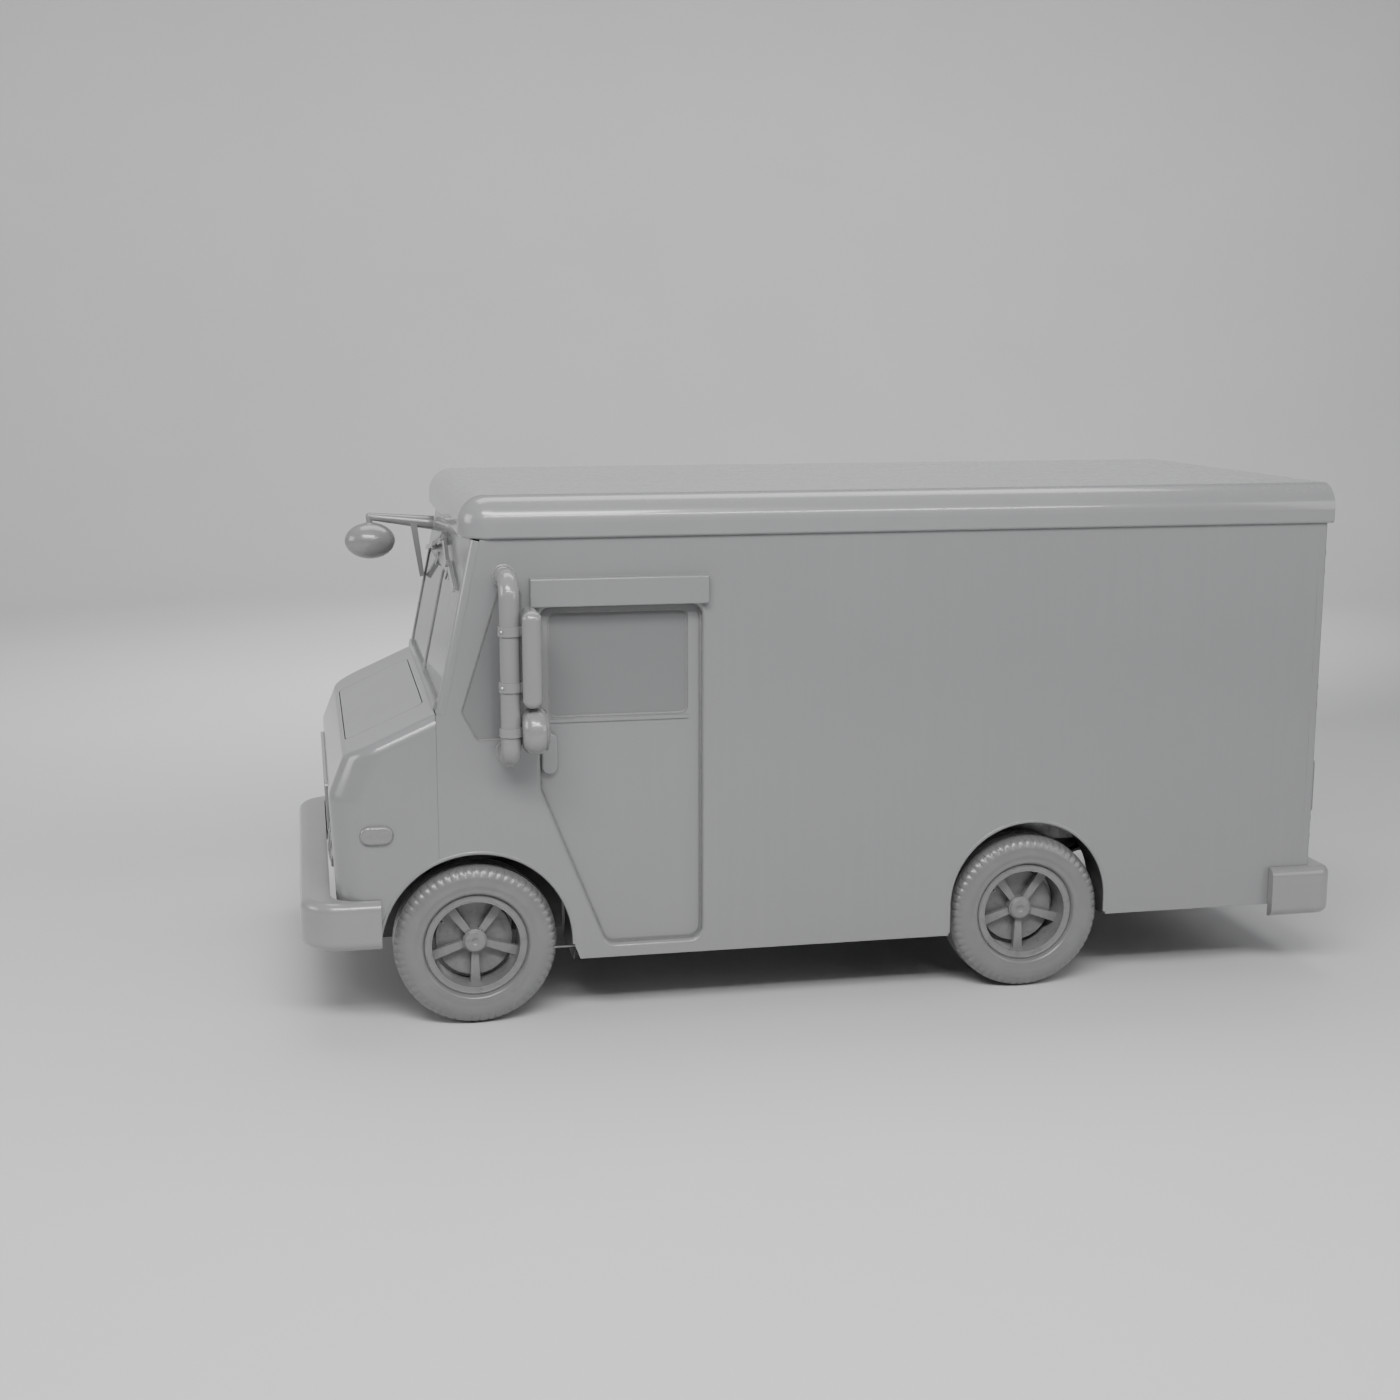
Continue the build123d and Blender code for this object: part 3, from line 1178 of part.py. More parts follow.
def crossview_mirror():
    """Convex mirror head: an ellipse turned about its long axis."""
    long_half, short_half = CROSS_HALF
    x = FRONT_X + CROSS_HEAD[0]
    with BuildPart() as head:
        with BuildSketch(Plane(origin=(x, CROSS_Y, CROSS_HEAD[1]), x_dir=(1, 0, 0), z_dir=(0, -1, 0))):
            Ellipse(long_half, short_half)
            with Locations((0, -short_half)):
                Rectangle(2 * long_half, 2 * short_half, mode=Mode.SUBTRACT)
        revolve(axis=Axis((x, CROSS_Y, CROSS_HEAD[1]), (1, 0, 0)))
    return head


def left_mirror_head():
    x = FRONT_X + ARM_X
    y = HALF + ARM_REACH
    face = x - ARM_R - 3
    with BuildPart() as head:
        block(face - HEAD_DEPTH, face, y - HEAD_WIDTH / 2, y + HEAD_WIDTH / 2, HEAD_LOW, HEAD_HIGH)
        fillet(head.edges(), 38)
        for z in (HEAD_LOW + 90, HEAD_HIGH - 90):
            with Locations((x, y, z)):
                Cylinder(COLLAR_R, 44)
            block(x - ARM_R - 20, x - 10, y - 24, y + 24, z - 22, z + 22)
        with Locations((x, y, (HEAD_LOW + HEAD_HIGH) / 2)):
            Cylinder(ARM_R + COLLAR_GAP, HEAD_HIGH - HEAD_LOW + 10, mode=Mode.SUBTRACT)
    return head


def left_round_mirror():
    x = FRONT_X + ARM_X
    y = HALF + ARM_REACH
    centre_x = x - ARM_R - ROUND_THICK / 2 - 1
    with BuildPart() as head:
        with Locations(Location((centre_x, y, ROUND_Z), (0, 90, 0))):
            Cylinder(ROUND_R, ROUND_THICK)
        fillet(head.edges(), ROUND_THICK / 2 - 6)
        with Locations((x, y, ROUND_Z)):
            Cylinder(COLLAR_R, 40)
        block(x - ARM_R - 20, x - 10, y - 20, y + 20, ROUND_Z - 18, ROUND_Z + 18)
        with Locations((x, y, ROUND_Z)):
            Cylinder(ARM_R + COLLAR_GAP, 220, mode=Mode.SUBTRACT)
    return head


# ---------------------------------------------------------------- cab fittings
DRIVER_Y = 455.0
WHEEL_CENTRE = (-330.0, 1330.0)
COLUMN_RISE = 48.0
STEERING_WHEEL_R = 215.0
COLUMN_R = 26.0
SHAFT_R = 11.0


def column_axis():
    rise = radians(COLUMN_RISE)
    return Vector(-cos(rise), 0, sin(rise))


def steering_centre():
    return Vector(FRONT_X + WHEEL_CENTRE[0], DRIVER_Y, WHEEL_CENTRE[1])


def steering_wheel():
    """Rim, three spokes, hub, and the shaft that turns inside the column."""
    centre = steering_centre()
    axis = column_axis()
    plane = Plane(origin=centre, x_dir=(0, 1, 0), z_dir=axis)
    with BuildPart() as wheel:
        with BuildSketch(Plane(origin=centre, x_dir=(0, 1, 0), z_dir=plane.y_dir)):
            with Locations((STEERING_WHEEL_R - 14, 0)):
                Circle(14)
        revolve(axis=Axis(centre, axis))
        with BuildSketch(plane.offset(-26)):
            Circle(46)
        extrude(amount=40)
        for turn in (-90, 30, 150):
            with BuildSketch(plane.offset(-12)):
                with Locations(Location((0, 0), turn)):
                    Polygon((30, -16), (30, 16), (STEERING_WHEEL_R - 10, 11), (STEERING_WHEEL_R - 10, -11),
                            align=None)
            extrude(amount=12)
        with BuildSketch(plane.offset(-26)):
            Circle(SHAFT_R)
        extrude(amount=-195)
    return wheel


def steering_column():
    centre = steering_centre()
    axis = column_axis()
    plane = Plane(origin=centre, x_dir=(0, 1, 0), z_dir=axis)
    reach = (FRONT_X + FIREWALL_X - 12 - centre.X) / cos(radians(COLUMN_RISE)) - 34
    with BuildPart() as column:
        with BuildSketch(plane.offset(-34)):
            Circle(COLUMN_R)
        extrude(amount=-reach)
        with BuildSketch(plane.offset(-34)):
            Circle(SHAFT_R + RUNNING_FIT)
        extrude(amount=-200, mode=Mode.SUBTRACT)
    return column


def dash_panel():
    back = -95
    with BuildPart() as dash:
        polygon_prism(side_plane(LINER_Y - 10), from_front([
            (FIREWALL_X - 14, 1180), (FIREWALL_X - 14, 1432), (20, 1432), (back, 1390), (back, 1290),
            (-30, 1180)]), 2 * (LINER_Y - 10), rounding=12)
        block(FRONT_X + back - 36, FRONT_X + back + 10, DRIVER_Y - 170, DRIVER_Y + 170, 1300, 1400)
    with BuildPart() as trimmed:
        add(dash.part)
        centre = steering_centre()
        plane = Plane(origin=centre, x_dir=(0, 1, 0), z_dir=column_axis())
        with BuildSketch(plane.offset(-30)):
            Circle(COLUMN_R + 3)
        extrude(amount=-900, mode=Mode.SUBTRACT)
    return trimmed


def firewall():
    """Bulkhead behind the nose, with the engine's cover that reaches back into the cab."""
    thick = 12
    x = FRONT_X + FIREWALL_X
    cover_back = FRONT_X + COVER_BACK
    with BuildPart() as wall:
        block(x - thick, x, -(SKIN_IN - SEAM), SKIN_IN - SEAM, HOUSING_TOP, COWL_Z - 12)
        block(x - thick, x, SEAM - FRONT_BOX_IN, FRONT_BOX_IN - SEAM, FLOOR_TOP_Z, HOUSING_TOP)
        block(cover_back, x - thick / 2, -COVER_HALF, COVER_HALF, FLOOR_LOW, COVER_TOP)
        block(cover_back + thick, x + 1, thick - COVER_HALF, COVER_HALF - thick, FLOOR_LOW - 1,
              COVER_TOP - thick, mode=Mode.SUBTRACT)
    return wall


PEDAL_PIVOT = (40.0, 1010.0)
PEDAL_TUBE_R = 14.0
PEDAL_PIN_R = 7.0
PEDAL_ARM = 12.0


def pedal(y, width, tall, low):
    """Hanging pedal: a tube on the pivot, a flat arm and a foot pad."""
    x = FRONT_X + PEDAL_PIVOT[0]
    top = PEDAL_PIVOT[1]
    with BuildPart() as lever:
        with Locations(Location((x, y, top), (90, 0, 0))):
            Cylinder(PEDAL_TUBE_R, 30)
        polygon_prism(side_plane(y + PEDAL_ARM / 2), [
            (x - 10, top), (x + 10, top), (x - 60, low + 30), (x - 76, low + 30)], PEDAL_ARM)
        with Locations(Location((x - 78, y, low + tall / 2), (0, -24, 0))):
            Box(14, width, tall)
        with Locations(Location((x, y, top), (90, 0, 0))):
            Cylinder(PEDAL_PIN_R + RUNNING_FIT, 40, mode=Mode.SUBTRACT)
    return lever


def pedal_bracket():
    """Pin through both pedals, on two cheeks from the firewall."""
    x = FRONT_X + PEDAL_PIVOT[0]
    with BuildPart() as bracket:
        with Locations(Location((x, DRIVER_Y, PEDAL_PIVOT[1]), (90, 0, 0))):
            Cylinder(PEDAL_PIN_R, 240)
        for y in (DRIVER_Y - 120, DRIVER_Y + 120):
            block(x - 14, FRONT_X + FIREWALL_X - 12, y - 5, y + 5, PEDAL_PIVOT[1] - 30, PEDAL_PIVOT[1] + 30)
    return bracket


SEAT_X = (-930.0, -480.0)
SEAT_Z = 985.0                  # top of the seat pan
PAN_THICK = 20.0
PAN_HALF = 225.0
SLIDE_Y = 110.0                 # seat centre to each slide rail
SLIDE_DROP = 45.0
SLIDE_HALF = 12.0
BACK_LEAN = 60.0
BACK_HEIGHT = 600.0
BACK_HALF = 190.0
CUSHION_HALF = 240.0
CUSHION_THICK = 105.0
CUSHION_GAP = 0.3


def seat_pedestal():
    with BuildPart() as base:
        block(FRONT_X - 860, FRONT_X - 540, DRIVER_Y - 130, DRIVER_Y + 130, FLOOR_TOP_Z, SEAT_Z - SLIDE_DROP)
        fillet(base.edges().filter_by(Axis.Z), 20)
        for y in (DRIVER_Y - SLIDE_Y, DRIVER_Y + SLIDE_Y):
            block(FRONT_X - 900, FRONT_X - 500, y - SLIDE_HALF, y + SLIDE_HALF,
                  SEAT_Z - SLIDE_DROP, SEAT_Z - 22)
    return base


def seat_frame():
    """Pan on the slide rails and the frame that stands up behind it."""
    x = FRONT_X + SEAT_X[0]
    low = SEAT_Z - PAN_THICK
    with BuildPart() as frame:
        block(x, FRONT_X + SEAT_X[1], DRIVER_Y - PAN_HALF, DRIVER_Y + PAN_HALF, low, SEAT_Z)
        for y in (DRIVER_Y - SLIDE_Y, DRIVER_Y + SLIDE_Y):
            block(FRONT_X - 840, FRONT_X - 560, y - 20, y - 14, low - 20, low)
            block(FRONT_X - 840, FRONT_X - 560, y + 14, y + 20, low - 20, low)
        polygon_prism(side_plane(DRIVER_Y + BACK_HALF), [
            (x, low), (x + PAN_THICK, low), (x + PAN_THICK - BACK_LEAN, SEAT_Z + BACK_HEIGHT),
            (x - BACK_LEAN, SEAT_Z + BACK_HEIGHT)], 2 * BACK_HALF)
    return frame


def seat_cushions():
    x0 = FRONT_X + SEAT_X[0]
    x1 = FRONT_X + SEAT_X[1]
    with BuildPart() as cushion:
        block(x0 + 60, x1 + 10, DRIVER_Y - CUSHION_HALF, DRIVER_Y + CUSHION_HALF, SEAT_Z + CUSHION_GAP,
              SEAT_Z + CUSHION_THICK)
        fillet(cushion.edges().filter_by(Axis.Y), 30)
        fillet(cushion.edges().filter_by(Axis.X), 18)
    foot = SEAT_Z + CUSHION_THICK + 5
    shift = BACK_LEAN * (foot + PAN_THICK - SEAT_Z) / (BACK_HEIGHT + PAN_THICK)
    behind = x0 + PAN_THICK + 1
    with BuildPart() as back:
        polygon_prism(side_plane(DRIVER_Y + PAN_HALF), [
            (behind - shift, foot), (behind + 95 - shift, foot),
            (behind + 80 - BACK_LEAN, SEAT_Z + BACK_HEIGHT + 30),
            (behind - BACK_LEAN, SEAT_Z + BACK_HEIGHT + 30)], 2 * PAN_HALF, rounding=26)
    return together(cushion, back)


BRAKE_LEVER_X = -180.0


def parking_brake_lever():
    """Hand lever beside the engine cover, on a cross pin."""
    x = FRONT_X + BRAKE_LEVER_X
    y = COVER_HALF + 26
    z = FLOOR_TOP_Z + 60
    with BuildPart() as lever:
        with Locations(Location((x, y, z), (90, 0, 0))):
            Cylinder(18, 14)
        with BuildSketch(side_plane(y + 6)):
            with Locations(Location((x - 92, z + 77), 140)):
                SlotOverall(250, 16)
        extrude(amount=12)
        with Locations(Location((x - 160, y, z + 134), (0, -50, 0))):
            Cylinder(16, 110)
        with Locations(Location((x, y, z), (90, 0, 0))):
            Cylinder(7 + RUNNING_FIT, 40, mode=Mode.SUBTRACT)
    return lever


def parking_brake_stand():
    x = FRONT_X + BRAKE_LEVER_X
    y = COVER_HALF + 26
    z = FLOOR_TOP_Z + 60
    with BuildPart() as stand:
        for side in (-1, 1):
            block(x - 24, x + 24, y + side * 12 - 3, y + side * 12 + 3, FLOOR_TOP_Z, z + 20)
        with Locations(Location((x, y, z), (90, 0, 0))):
            Cylinder(7, 30)
    return stand


def gear_selector():
    """Column lever with a ball knob, on a ring round the column."""
    centre = steering_centre()
    axis = column_axis()
    plane = Plane(origin=centre, x_dir=(0, 1, 0), z_dir=axis).offset(-110)
    with BuildPart() as lever:
        with BuildSketch(plane):
            Circle(COLUMN_R + 12)
            Circle(COLUMN_R + COLLAR_GAP, mode=Mode.SUBTRACT)
        extrude(amount=20)
        start = plane.from_local_coords((-(COLUMN_R + 6), 0, 10))
        with BuildSketch(Plane(origin=start, z_dir=(0, -1, 0))):
            Circle(6)
        extrude(amount=150)
        with Locations(start + Vector(0, -160, 0)):
            Sphere(19)
    return lever


# ---------------------------------------------------------------- mail shelves
SHELF_IN = 505.0
SHELF_X = (TAIL_X + 140, REAR_X - 450, REAR_X + 460)
SHELF_Z = (1060.0, 1520.0)
SHELF_PLATE = 20.0
SHELF_TOP_Z = 1990.0


def mail_shelves():
    solids = []
    for x in SHELF_X:
        with BuildPart() as plate:
            block(x - SHELF_PLATE / 2, x + SHELF_PLATE / 2, SHELF_IN, LINER_Y, FLOOR_TOP_Z, SHELF_TOP_Z)
        solids.append(plate)
    for x0, x1 in zip(SHELF_X, SHELF_X[1:]):
        for z in SHELF_Z:
            with BuildPart() as board:
                block(x0 + SHELF_PLATE / 2, x1 - SHELF_PLATE / 2, SHELF_IN, LINER_Y, z - 20, z)
            with BuildPart() as lip:
                block(x0 + SHELF_PLATE / 2, x1 - SHELF_PLATE / 2, SHELF_IN - 3, SHELF_IN, z - 20, z + 40)
            solids += [board, lip]
    return together(*solids, *[right_hand(s) for s in solids])


# ---------------------------------------------------------------- every piece by name
def part_of(builder):
    return builder if isinstance(builder, Compound) else builder.part


skin = nose_skin()
pieces = {
    "ladder_frame": ladder_frame(),
    "axles": together(front_axle_beam(), rear_axle_housing()),
    "leaf_springs": leaf_springs(),
    "left_knuckle": left_knuckle(),
    "tie_rod": tie_rod(),
    "power_unit": power_unit(),
    "driveshaft": driveshaft(),
    "body_floor": body_floor(),
    "floor_wells": floor_wells(),
    "left_side_panel": left_side_panel(),
    "nose_shell": nose_shell(skin),
    "hood": hood(skin),
    "grille": grille(),
    "headlamps": together(headlamp(HEADLAMP_Y), headlamp(-HEADLAMP_Y)),
    "signal_lamps": together(side_marker(), right_hand(side_marker()), tail_lamp(), right_hand(tail_lamp())),
    "windscreen_frame": windscreen_frame(),
    "fixed_glass": fixed_glass(),
    "left_wiper": wiper(1),
    "right_wiper": wiper(-1),
    "roof_cap": roof_cap(),
    "rear_frame": rear_frame(),
    "left_rear_door": left_rear_door(),
    "left_rear_window": rear_window(),
    "rear_door_handle": rear_door_handle(),
    "front_bumper": front_bumper(),
    "rear_bumper": rear_bumper(),
    "left_door": left_door(),
    "left_door_glass": left_door_glass(),
    "left_door_handle": left_door_handle(),
    "mirror_arms": together(side_mirror_arm(), right_hand(side_mirror_arm()), crossview_arm()),
    "crossview_mirror": crossview_mirror(),
    "left_mirror_head": left_mirror_head(),
    "left_round_mirror": left_round_mirror(),
    "steering_wheel": steering_wheel(),
    "dash_and_firewall": together(dash_panel(), steering_column(), firewall(), pedal_bracket(),
                                  parking_brake_stand()),
    "brake_pedal": pedal(DRIVER_Y - 70, 90, 70, 800),
    "accelerator_pedal": pedal(DRIVER_Y + 60, 55, 120, 770),
    "gear_selector": gear_selector(),
    "parking_brake_lever": parking_brake_lever(),
    "seat_pedestal": seat_pedestal(),
    "seat_frame": seat_frame(),
    "seat_cushions": seat_cushions(),
    "mail_shelves": mail_shelves(),
}
for twin in ("knuckle", "side_panel", "rear_door", "rear_window", "door", "door_glass", "door_handle",
             "mirror_head", "round_mirror"):
    pieces["right_" + twin] = right_hand(pieces["left_" + twin])
for end, axle_x in (("front", FRONT_X), ("rear", REAR_X)):
    pieces[end + "_left_tyre"] = tyre(axle_x)
    pieces[end + "_left_rim"] = rim(axle_x)
    for part_name in ("tyre", "rim"):
        pieces[f"{end}_right_{part_name}"] = right_hand(pieces[f"{end}_left_{part_name}"])

os.makedirs("parts", exist_ok=True)
for name, builder in pieces.items():
    piece = part_of(builder)
    piece.label = name
    export_step(piece, f"parts/{name}.step")
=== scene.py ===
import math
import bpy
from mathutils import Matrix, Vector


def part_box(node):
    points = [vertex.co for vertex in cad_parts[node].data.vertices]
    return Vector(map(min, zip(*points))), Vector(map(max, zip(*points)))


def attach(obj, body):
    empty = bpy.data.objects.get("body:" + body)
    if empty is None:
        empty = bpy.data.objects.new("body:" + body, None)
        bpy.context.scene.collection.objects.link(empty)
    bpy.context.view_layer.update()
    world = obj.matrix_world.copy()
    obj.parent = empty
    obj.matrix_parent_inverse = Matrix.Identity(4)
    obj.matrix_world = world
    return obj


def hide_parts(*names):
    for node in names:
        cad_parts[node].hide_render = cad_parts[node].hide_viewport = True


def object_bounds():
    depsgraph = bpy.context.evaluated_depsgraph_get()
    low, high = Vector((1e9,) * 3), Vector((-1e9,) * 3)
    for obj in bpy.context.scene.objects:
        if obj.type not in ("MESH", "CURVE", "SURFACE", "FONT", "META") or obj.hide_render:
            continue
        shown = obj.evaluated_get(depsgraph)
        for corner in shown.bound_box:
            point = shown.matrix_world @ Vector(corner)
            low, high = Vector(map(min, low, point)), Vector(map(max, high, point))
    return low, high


bl_info = {
    "name": "Mail Delivery Truck",
    "version": (1, 0, 0),
    "blender": (4, 5, 0),
    "location": "View3D > Sidebar > Mail Truck",
    "description": "Finishes and fittings of a short walk-in mail van, made round its packed frame",
    "category": "Object",
}

import bmesh
import bpy
from mathutils import Matrix, Vector
from mathutils.bvhtree import BVHTree

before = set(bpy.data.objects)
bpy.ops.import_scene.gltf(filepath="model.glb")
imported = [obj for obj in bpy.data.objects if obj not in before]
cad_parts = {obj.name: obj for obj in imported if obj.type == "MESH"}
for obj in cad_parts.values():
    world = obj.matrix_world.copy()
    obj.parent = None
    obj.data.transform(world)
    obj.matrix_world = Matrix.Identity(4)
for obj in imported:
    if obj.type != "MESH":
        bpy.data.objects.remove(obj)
CAD_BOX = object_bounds()

MM = 0.001
FULL_TURN = 2 * math.pi
FORWARD = Vector((1, 0, 0))
LEFT = Vector((0, 1, 0))
UP = Vector((0, 0, 1))


# ---------------------------------------------------------------- what a user may change
def shade(name, description, grey, warmth=0.0):
    """A colour setting: a grey, a little warmer or cooler."""
    return bpy.props.FloatVectorProperty(
        name=name, description=description, subtype="COLOR", size=3, min=0.0, max=1.0,
        default=(grey * (1 + warmth), grey, grey * (1 - warmth)),
    )


def length(name, description, millimetres):
    """A length setting."""
    return bpy.props.FloatProperty(
        name=name, description=description, unit="LENGTH", subtype="DISTANCE", min=0.0,
        default=millimetres * MM,
    )


def count(name, description, number):
    """A setting for how many of something there are."""
    return bpy.props.IntProperty(name=name, description=description, min=1, default=number)


class TruckShades(bpy.types.PropertyGroup):
    """Colours of the truck's finishes."""

    paint: shade("Body paint", "Side panels, nose, doors and pillars", 0.215, -0.01)
    roof: shade("Roof shell", "Moulded roof cap", 0.23, -0.01)
    bumper: shade("Bumper", "Moulded bumpers", 0.225)
    housing: shade("Mirror housing", "Mirror heads and their arms", 0.21)
    # The windscreen glass is darker than the side glass, partly by its tint and partly as painted shade on
    # the forward-facing panes.
    glass: shade("Window glass", "Tinted panes of the windscreen", 0.085, -0.03)
    side_glass: shade("Side glass", "Panes of the sides and the rear doors", 0.2, -0.01)
    lens: shade("Lamp lens", "Marker and tail lamps", 0.26)
    rubber: shade("Tyre rubber", "Tyres", 0.15)
    seal: shade("Seal rubber", "Window and door seals", 0.15)
    rim: shade("Wheel paint", "Painted steel wheels", 0.17)
    bright: shade("Bright steel", "Handles, bezels and fastenings", 0.46)
    dark_steel: shade("Chassis paint", "Frame, axles and brackets", 0.06)
    cast: shade("Cast iron", "Engine, knuckles and drums", 0.10)
    aluminium: shade("Aluminium", "Floor, wells and shelves", 0.42)
    plastic: shade("Cab plastic", "Dash, column and knobs", 0.10)
    vinyl: shade("Seat vinyl", "Driver's seat", 0.075, 0.02)
    dust: shade("Road dust", "Dust that settles low on the body", 0.33, 0.06)
    floor: shade("Studio floor", "Floor and its curved surround", 0.62)


class TruckSizes(bpy.types.PropertyGroup):
    """Sizes of the fittings added to the frame."""

    seal_width: length("Seal width", "How far a window seal covers its pane", 9)
    seal_proud: length("Seal height", "How far a window seal stands off its pane", 6.4)
    lip_radius: length("Arch lip", "Radius of the rolled lip round a wheel arch", 11)
    tread_depth: length("Tread depth", "Depth of the tyre's grooves", 8)
    tread_pitches: count("Tread pitches", "Blocks round the tyre", 60)
    mesh_pitch: length("Grille mesh", "Spacing of the mesh behind the grille", 14)
    rivet_radius: length("Rivet radius", "Domed rivets on the load space's ribs", 4)
    cushion_cap: length("Cushion crown", "How far the seat's cover may swell", 24)


def shades():
    return bpy.context.scene.truck_shades


def sizes():
    return bpy.context.scene.truck_sizes


# ---------------------------------------------------------------- finishes
def active(sockets):
    """The sockets of a node that its settings leave in use."""
    return [socket for socket in sockets if socket.enabled]


class Finish:
    """A node material: one Principled surface, varied by the piece's own coordinates."""

    def __init__(self, name, colour, roughness, metallic=0.0):
        self.material = bpy.data.materials.new(name)
        self.material.use_nodes = True
        self.tree = self.material.node_tree
        self.shader = self.tree.nodes["Principled BSDF"]
        self.shader.inputs["Base Color"].default_value = (*colour, 1.0)
        self.shader.inputs["Roughness"].default_value = roughness
        self.shader.inputs["Metallic"].default_value = metallic
        self.place = self.add("ShaderNodeTexCoord").outputs["Object"]
        self.colour = None
        self.gloss = None
        self.normal = None

    def add(self, kind, **settings):
        node = self.tree.nodes.new(kind)
        for name, value in settings.items():
            setattr(node, name, value)
        return node

    def link(self, source, target):
        self.tree.links.new(source, target)

    def fix(self, **values):
        """Numbers that are the same all over the surface, by socket name."""
        for name, value in values.items():
            self.shader.inputs[name.replace("_", " ")].default_value = value
        return self

    def stretched(self, stretch):
        mapping = self.add("ShaderNodeMapping")
        mapping.inputs["Scale"].default_value = stretch
        self.link(self.place, mapping.inputs["Vector"])
        return mapping.outputs["Vector"]

    def noise(self, scale, detail=3.0, stretch=(1, 1, 1), distortion=0.0):
        node = self.add("ShaderNodeTexNoise")
        node.inputs["Scale"].default_value = scale
        node.inputs["Detail"].default_value = detail
        node.inputs["Distortion"].default_value = distortion
        self.link(self.stretched(stretch), node.inputs["Vector"])
        return node.outputs["Fac"]

    def cells(self, scale, feature="F1", stretch=(1, 1, 1)):
        node = self.add("ShaderNodeTexVoronoi", feature=feature)
        node.inputs["Scale"].default_value = scale
        self.link(self.stretched(stretch), node.inputs["Vector"])
        return node.outputs["Distance"]

    def wave(self, scale, direction="X", distortion=0.0):
        node = self.add("ShaderNodeTexWave", bands_direction=direction)
        node.inputs["Scale"].default_value = scale
        node.inputs["Distortion"].default_value = distortion
        self.link(self.place, node.inputs["Vector"])
        return node.outputs["Fac"]

    def height(self, low, high):
        """1 below low, 0 above high, in metres above the ground."""
        parts = self.add("ShaderNodeSeparateXYZ")
        self.link(self.place, parts.inputs["Vector"])
        return self.span(parts.outputs["Z"], high, low)

    def facing_up(self, low=0.3, high=0.95):
        parts = self.add("ShaderNodeSeparateXYZ")
        self.link(self.add("ShaderNodeNewGeometry").outputs["Normal"], parts.inputs["Vector"])
        return self.span(parts.outputs["Z"], low, high)

    def span(self, value, low, high, to_low=0.0, to_high=1.0):
        node = self.add("ShaderNodeMapRange")
        self.link(value, node.inputs["Value"])
        for name, number in zip(("From Min", "From Max", "To Min", "To Max"), (low, high, to_low, to_high)):
            node.inputs[name].default_value = number
        return node.outputs["Result"]

    def times(self, first, second):
        node = self.add("ShaderNodeMath", operation="MULTIPLY")
        self.link(first, node.inputs[0])
        if isinstance(second, float):
            node.inputs[1].default_value = second
        else:
            self.link(second, node.inputs[1])
        return node.outputs["Value"]

    def tint(self, mask, colour):
        """Goes over to a colour where the mask is 1."""
        node = self.add("ShaderNodeMix", data_type="RGBA")
        factor, first, second = active(node.inputs)
        self.link(mask, factor)
        if self.colour is None:
            first.default_value = self.shader.inputs["Base Color"].default_value
        else:
            self.link(self.colour, first)
        second.default_value = (*colour, 1.0)
        self.colour = active(node.outputs)[0]
        self.link(self.colour, self.shader.inputs["Base Color"])
        return self

    def mottle(self, mask, amount):
        """Lighter and darker by a share of the colour."""
        base = Vector(self.shader.inputs["Base Color"].default_value[:3])
        return self.tint(self.span(mask, 0.3, 0.7), tuple(base * (1 + amount)))

    def dull(self, mask, roughness):
        """Goes over to a roughness where the mask is 1."""
        node = self.add("ShaderNodeMix", data_type="FLOAT")
        factor, first, second = active(node.inputs)
        self.link(mask, factor)
        if self.gloss is None:
            first.default_value = self.shader.inputs["Roughness"].default_value
        else:
            self.link(self.gloss, first)
        second.default_value = roughness
        self.gloss = active(node.outputs)[0]
        self.link(self.gloss, self.shader.inputs["Roughness"])
        return self

    def soften(self, radius):
        """Rounds the light on sharp edges, as a pressed or painted edge does."""
        node = self.add("ShaderNodeBevel", samples=3)
        node.inputs["Radius"].default_value = radius
        self.normal = node.outputs["Normal"]
        self.link(self.normal, self.shader.inputs["Normal"])
        return self

    def relief(self, height, depth):
        """Raises the surface by a depth in metres where the height is 1."""
        node = self.add("ShaderNodeBump")
        node.inputs["Distance"].default_value = depth
        self.link(height, node.inputs["Height"])
        if self.normal is not None:
            self.link(self.normal, node.inputs["Normal"])
        self.normal = node.outputs["Normal"]
        self.link(self.normal, self.shader.inputs["Normal"])
        return self


def dusty(finish, top, amount):
    """Road dust that fades out by a height, broken up by soft clouds."""
    clouds = finish.span(finish.noise(3.1, 6.0, (1, 1, 0.6)), 0.35, 0.75)
    low = finish.times(finish.height(0.1, top), amount)
    dust = finish.times(low, clouds)
    return finish.tint(dust, tuple(shades().dust)).dull(dust, 0.75)


def streaked(finish, amount):
    """Faint rain streaks that run down the upright panels."""
    streaks = finish.noise(1.0, 4.0, (34, 34, 1.1))
    return finish.mottle(streaks, amount)


def paint_finish(name, colour):
    finish = Finish(name, colour, 0.3)
    finish.fix(Coat_Weight=0.7, Coat_Roughness=0.1, Specular_IOR_Level=0.5)
    finish.mottle(finish.noise(1.4, 4.0), 0.03)
    streaked(finish, -0.006)
    dusty(finish, 0.7, 0.12)
    finish.dull(finish.span(finish.noise(1.5, 2.0), 0.45, 0.8), 0.36)
    finish.soften(3.5 * MM)
    finish.relief(finish.noise(2.2, 2.0), 0.5 * MM)
    finish.relief(finish.noise(230.0, 2.0), 0.012 * MM)
    return finish.material


def roof_finish(name, colour):
    finish = Finish(name, colour, 0.26)
    finish.fix(Coat_Weight=0.75, Coat_Roughness=0.08)
    finish.mottle(finish.noise(1.9, 5.0), 0.06)
    settled = finish.times(finish.facing_up(), finish.span(finish.noise(6.0, 6.0), 0.35, 0.75, 0.0, 0.1))
    finish.tint(settled, tuple(shades().dust)).dull(settled, 0.6)
    finish.soften(3.0 * MM)
    finish.relief(finish.cells(150.0), 0.006 * MM)
    finish.relief(finish.noise(2.5, 1.0), 0.4 * MM)
    return finish.material


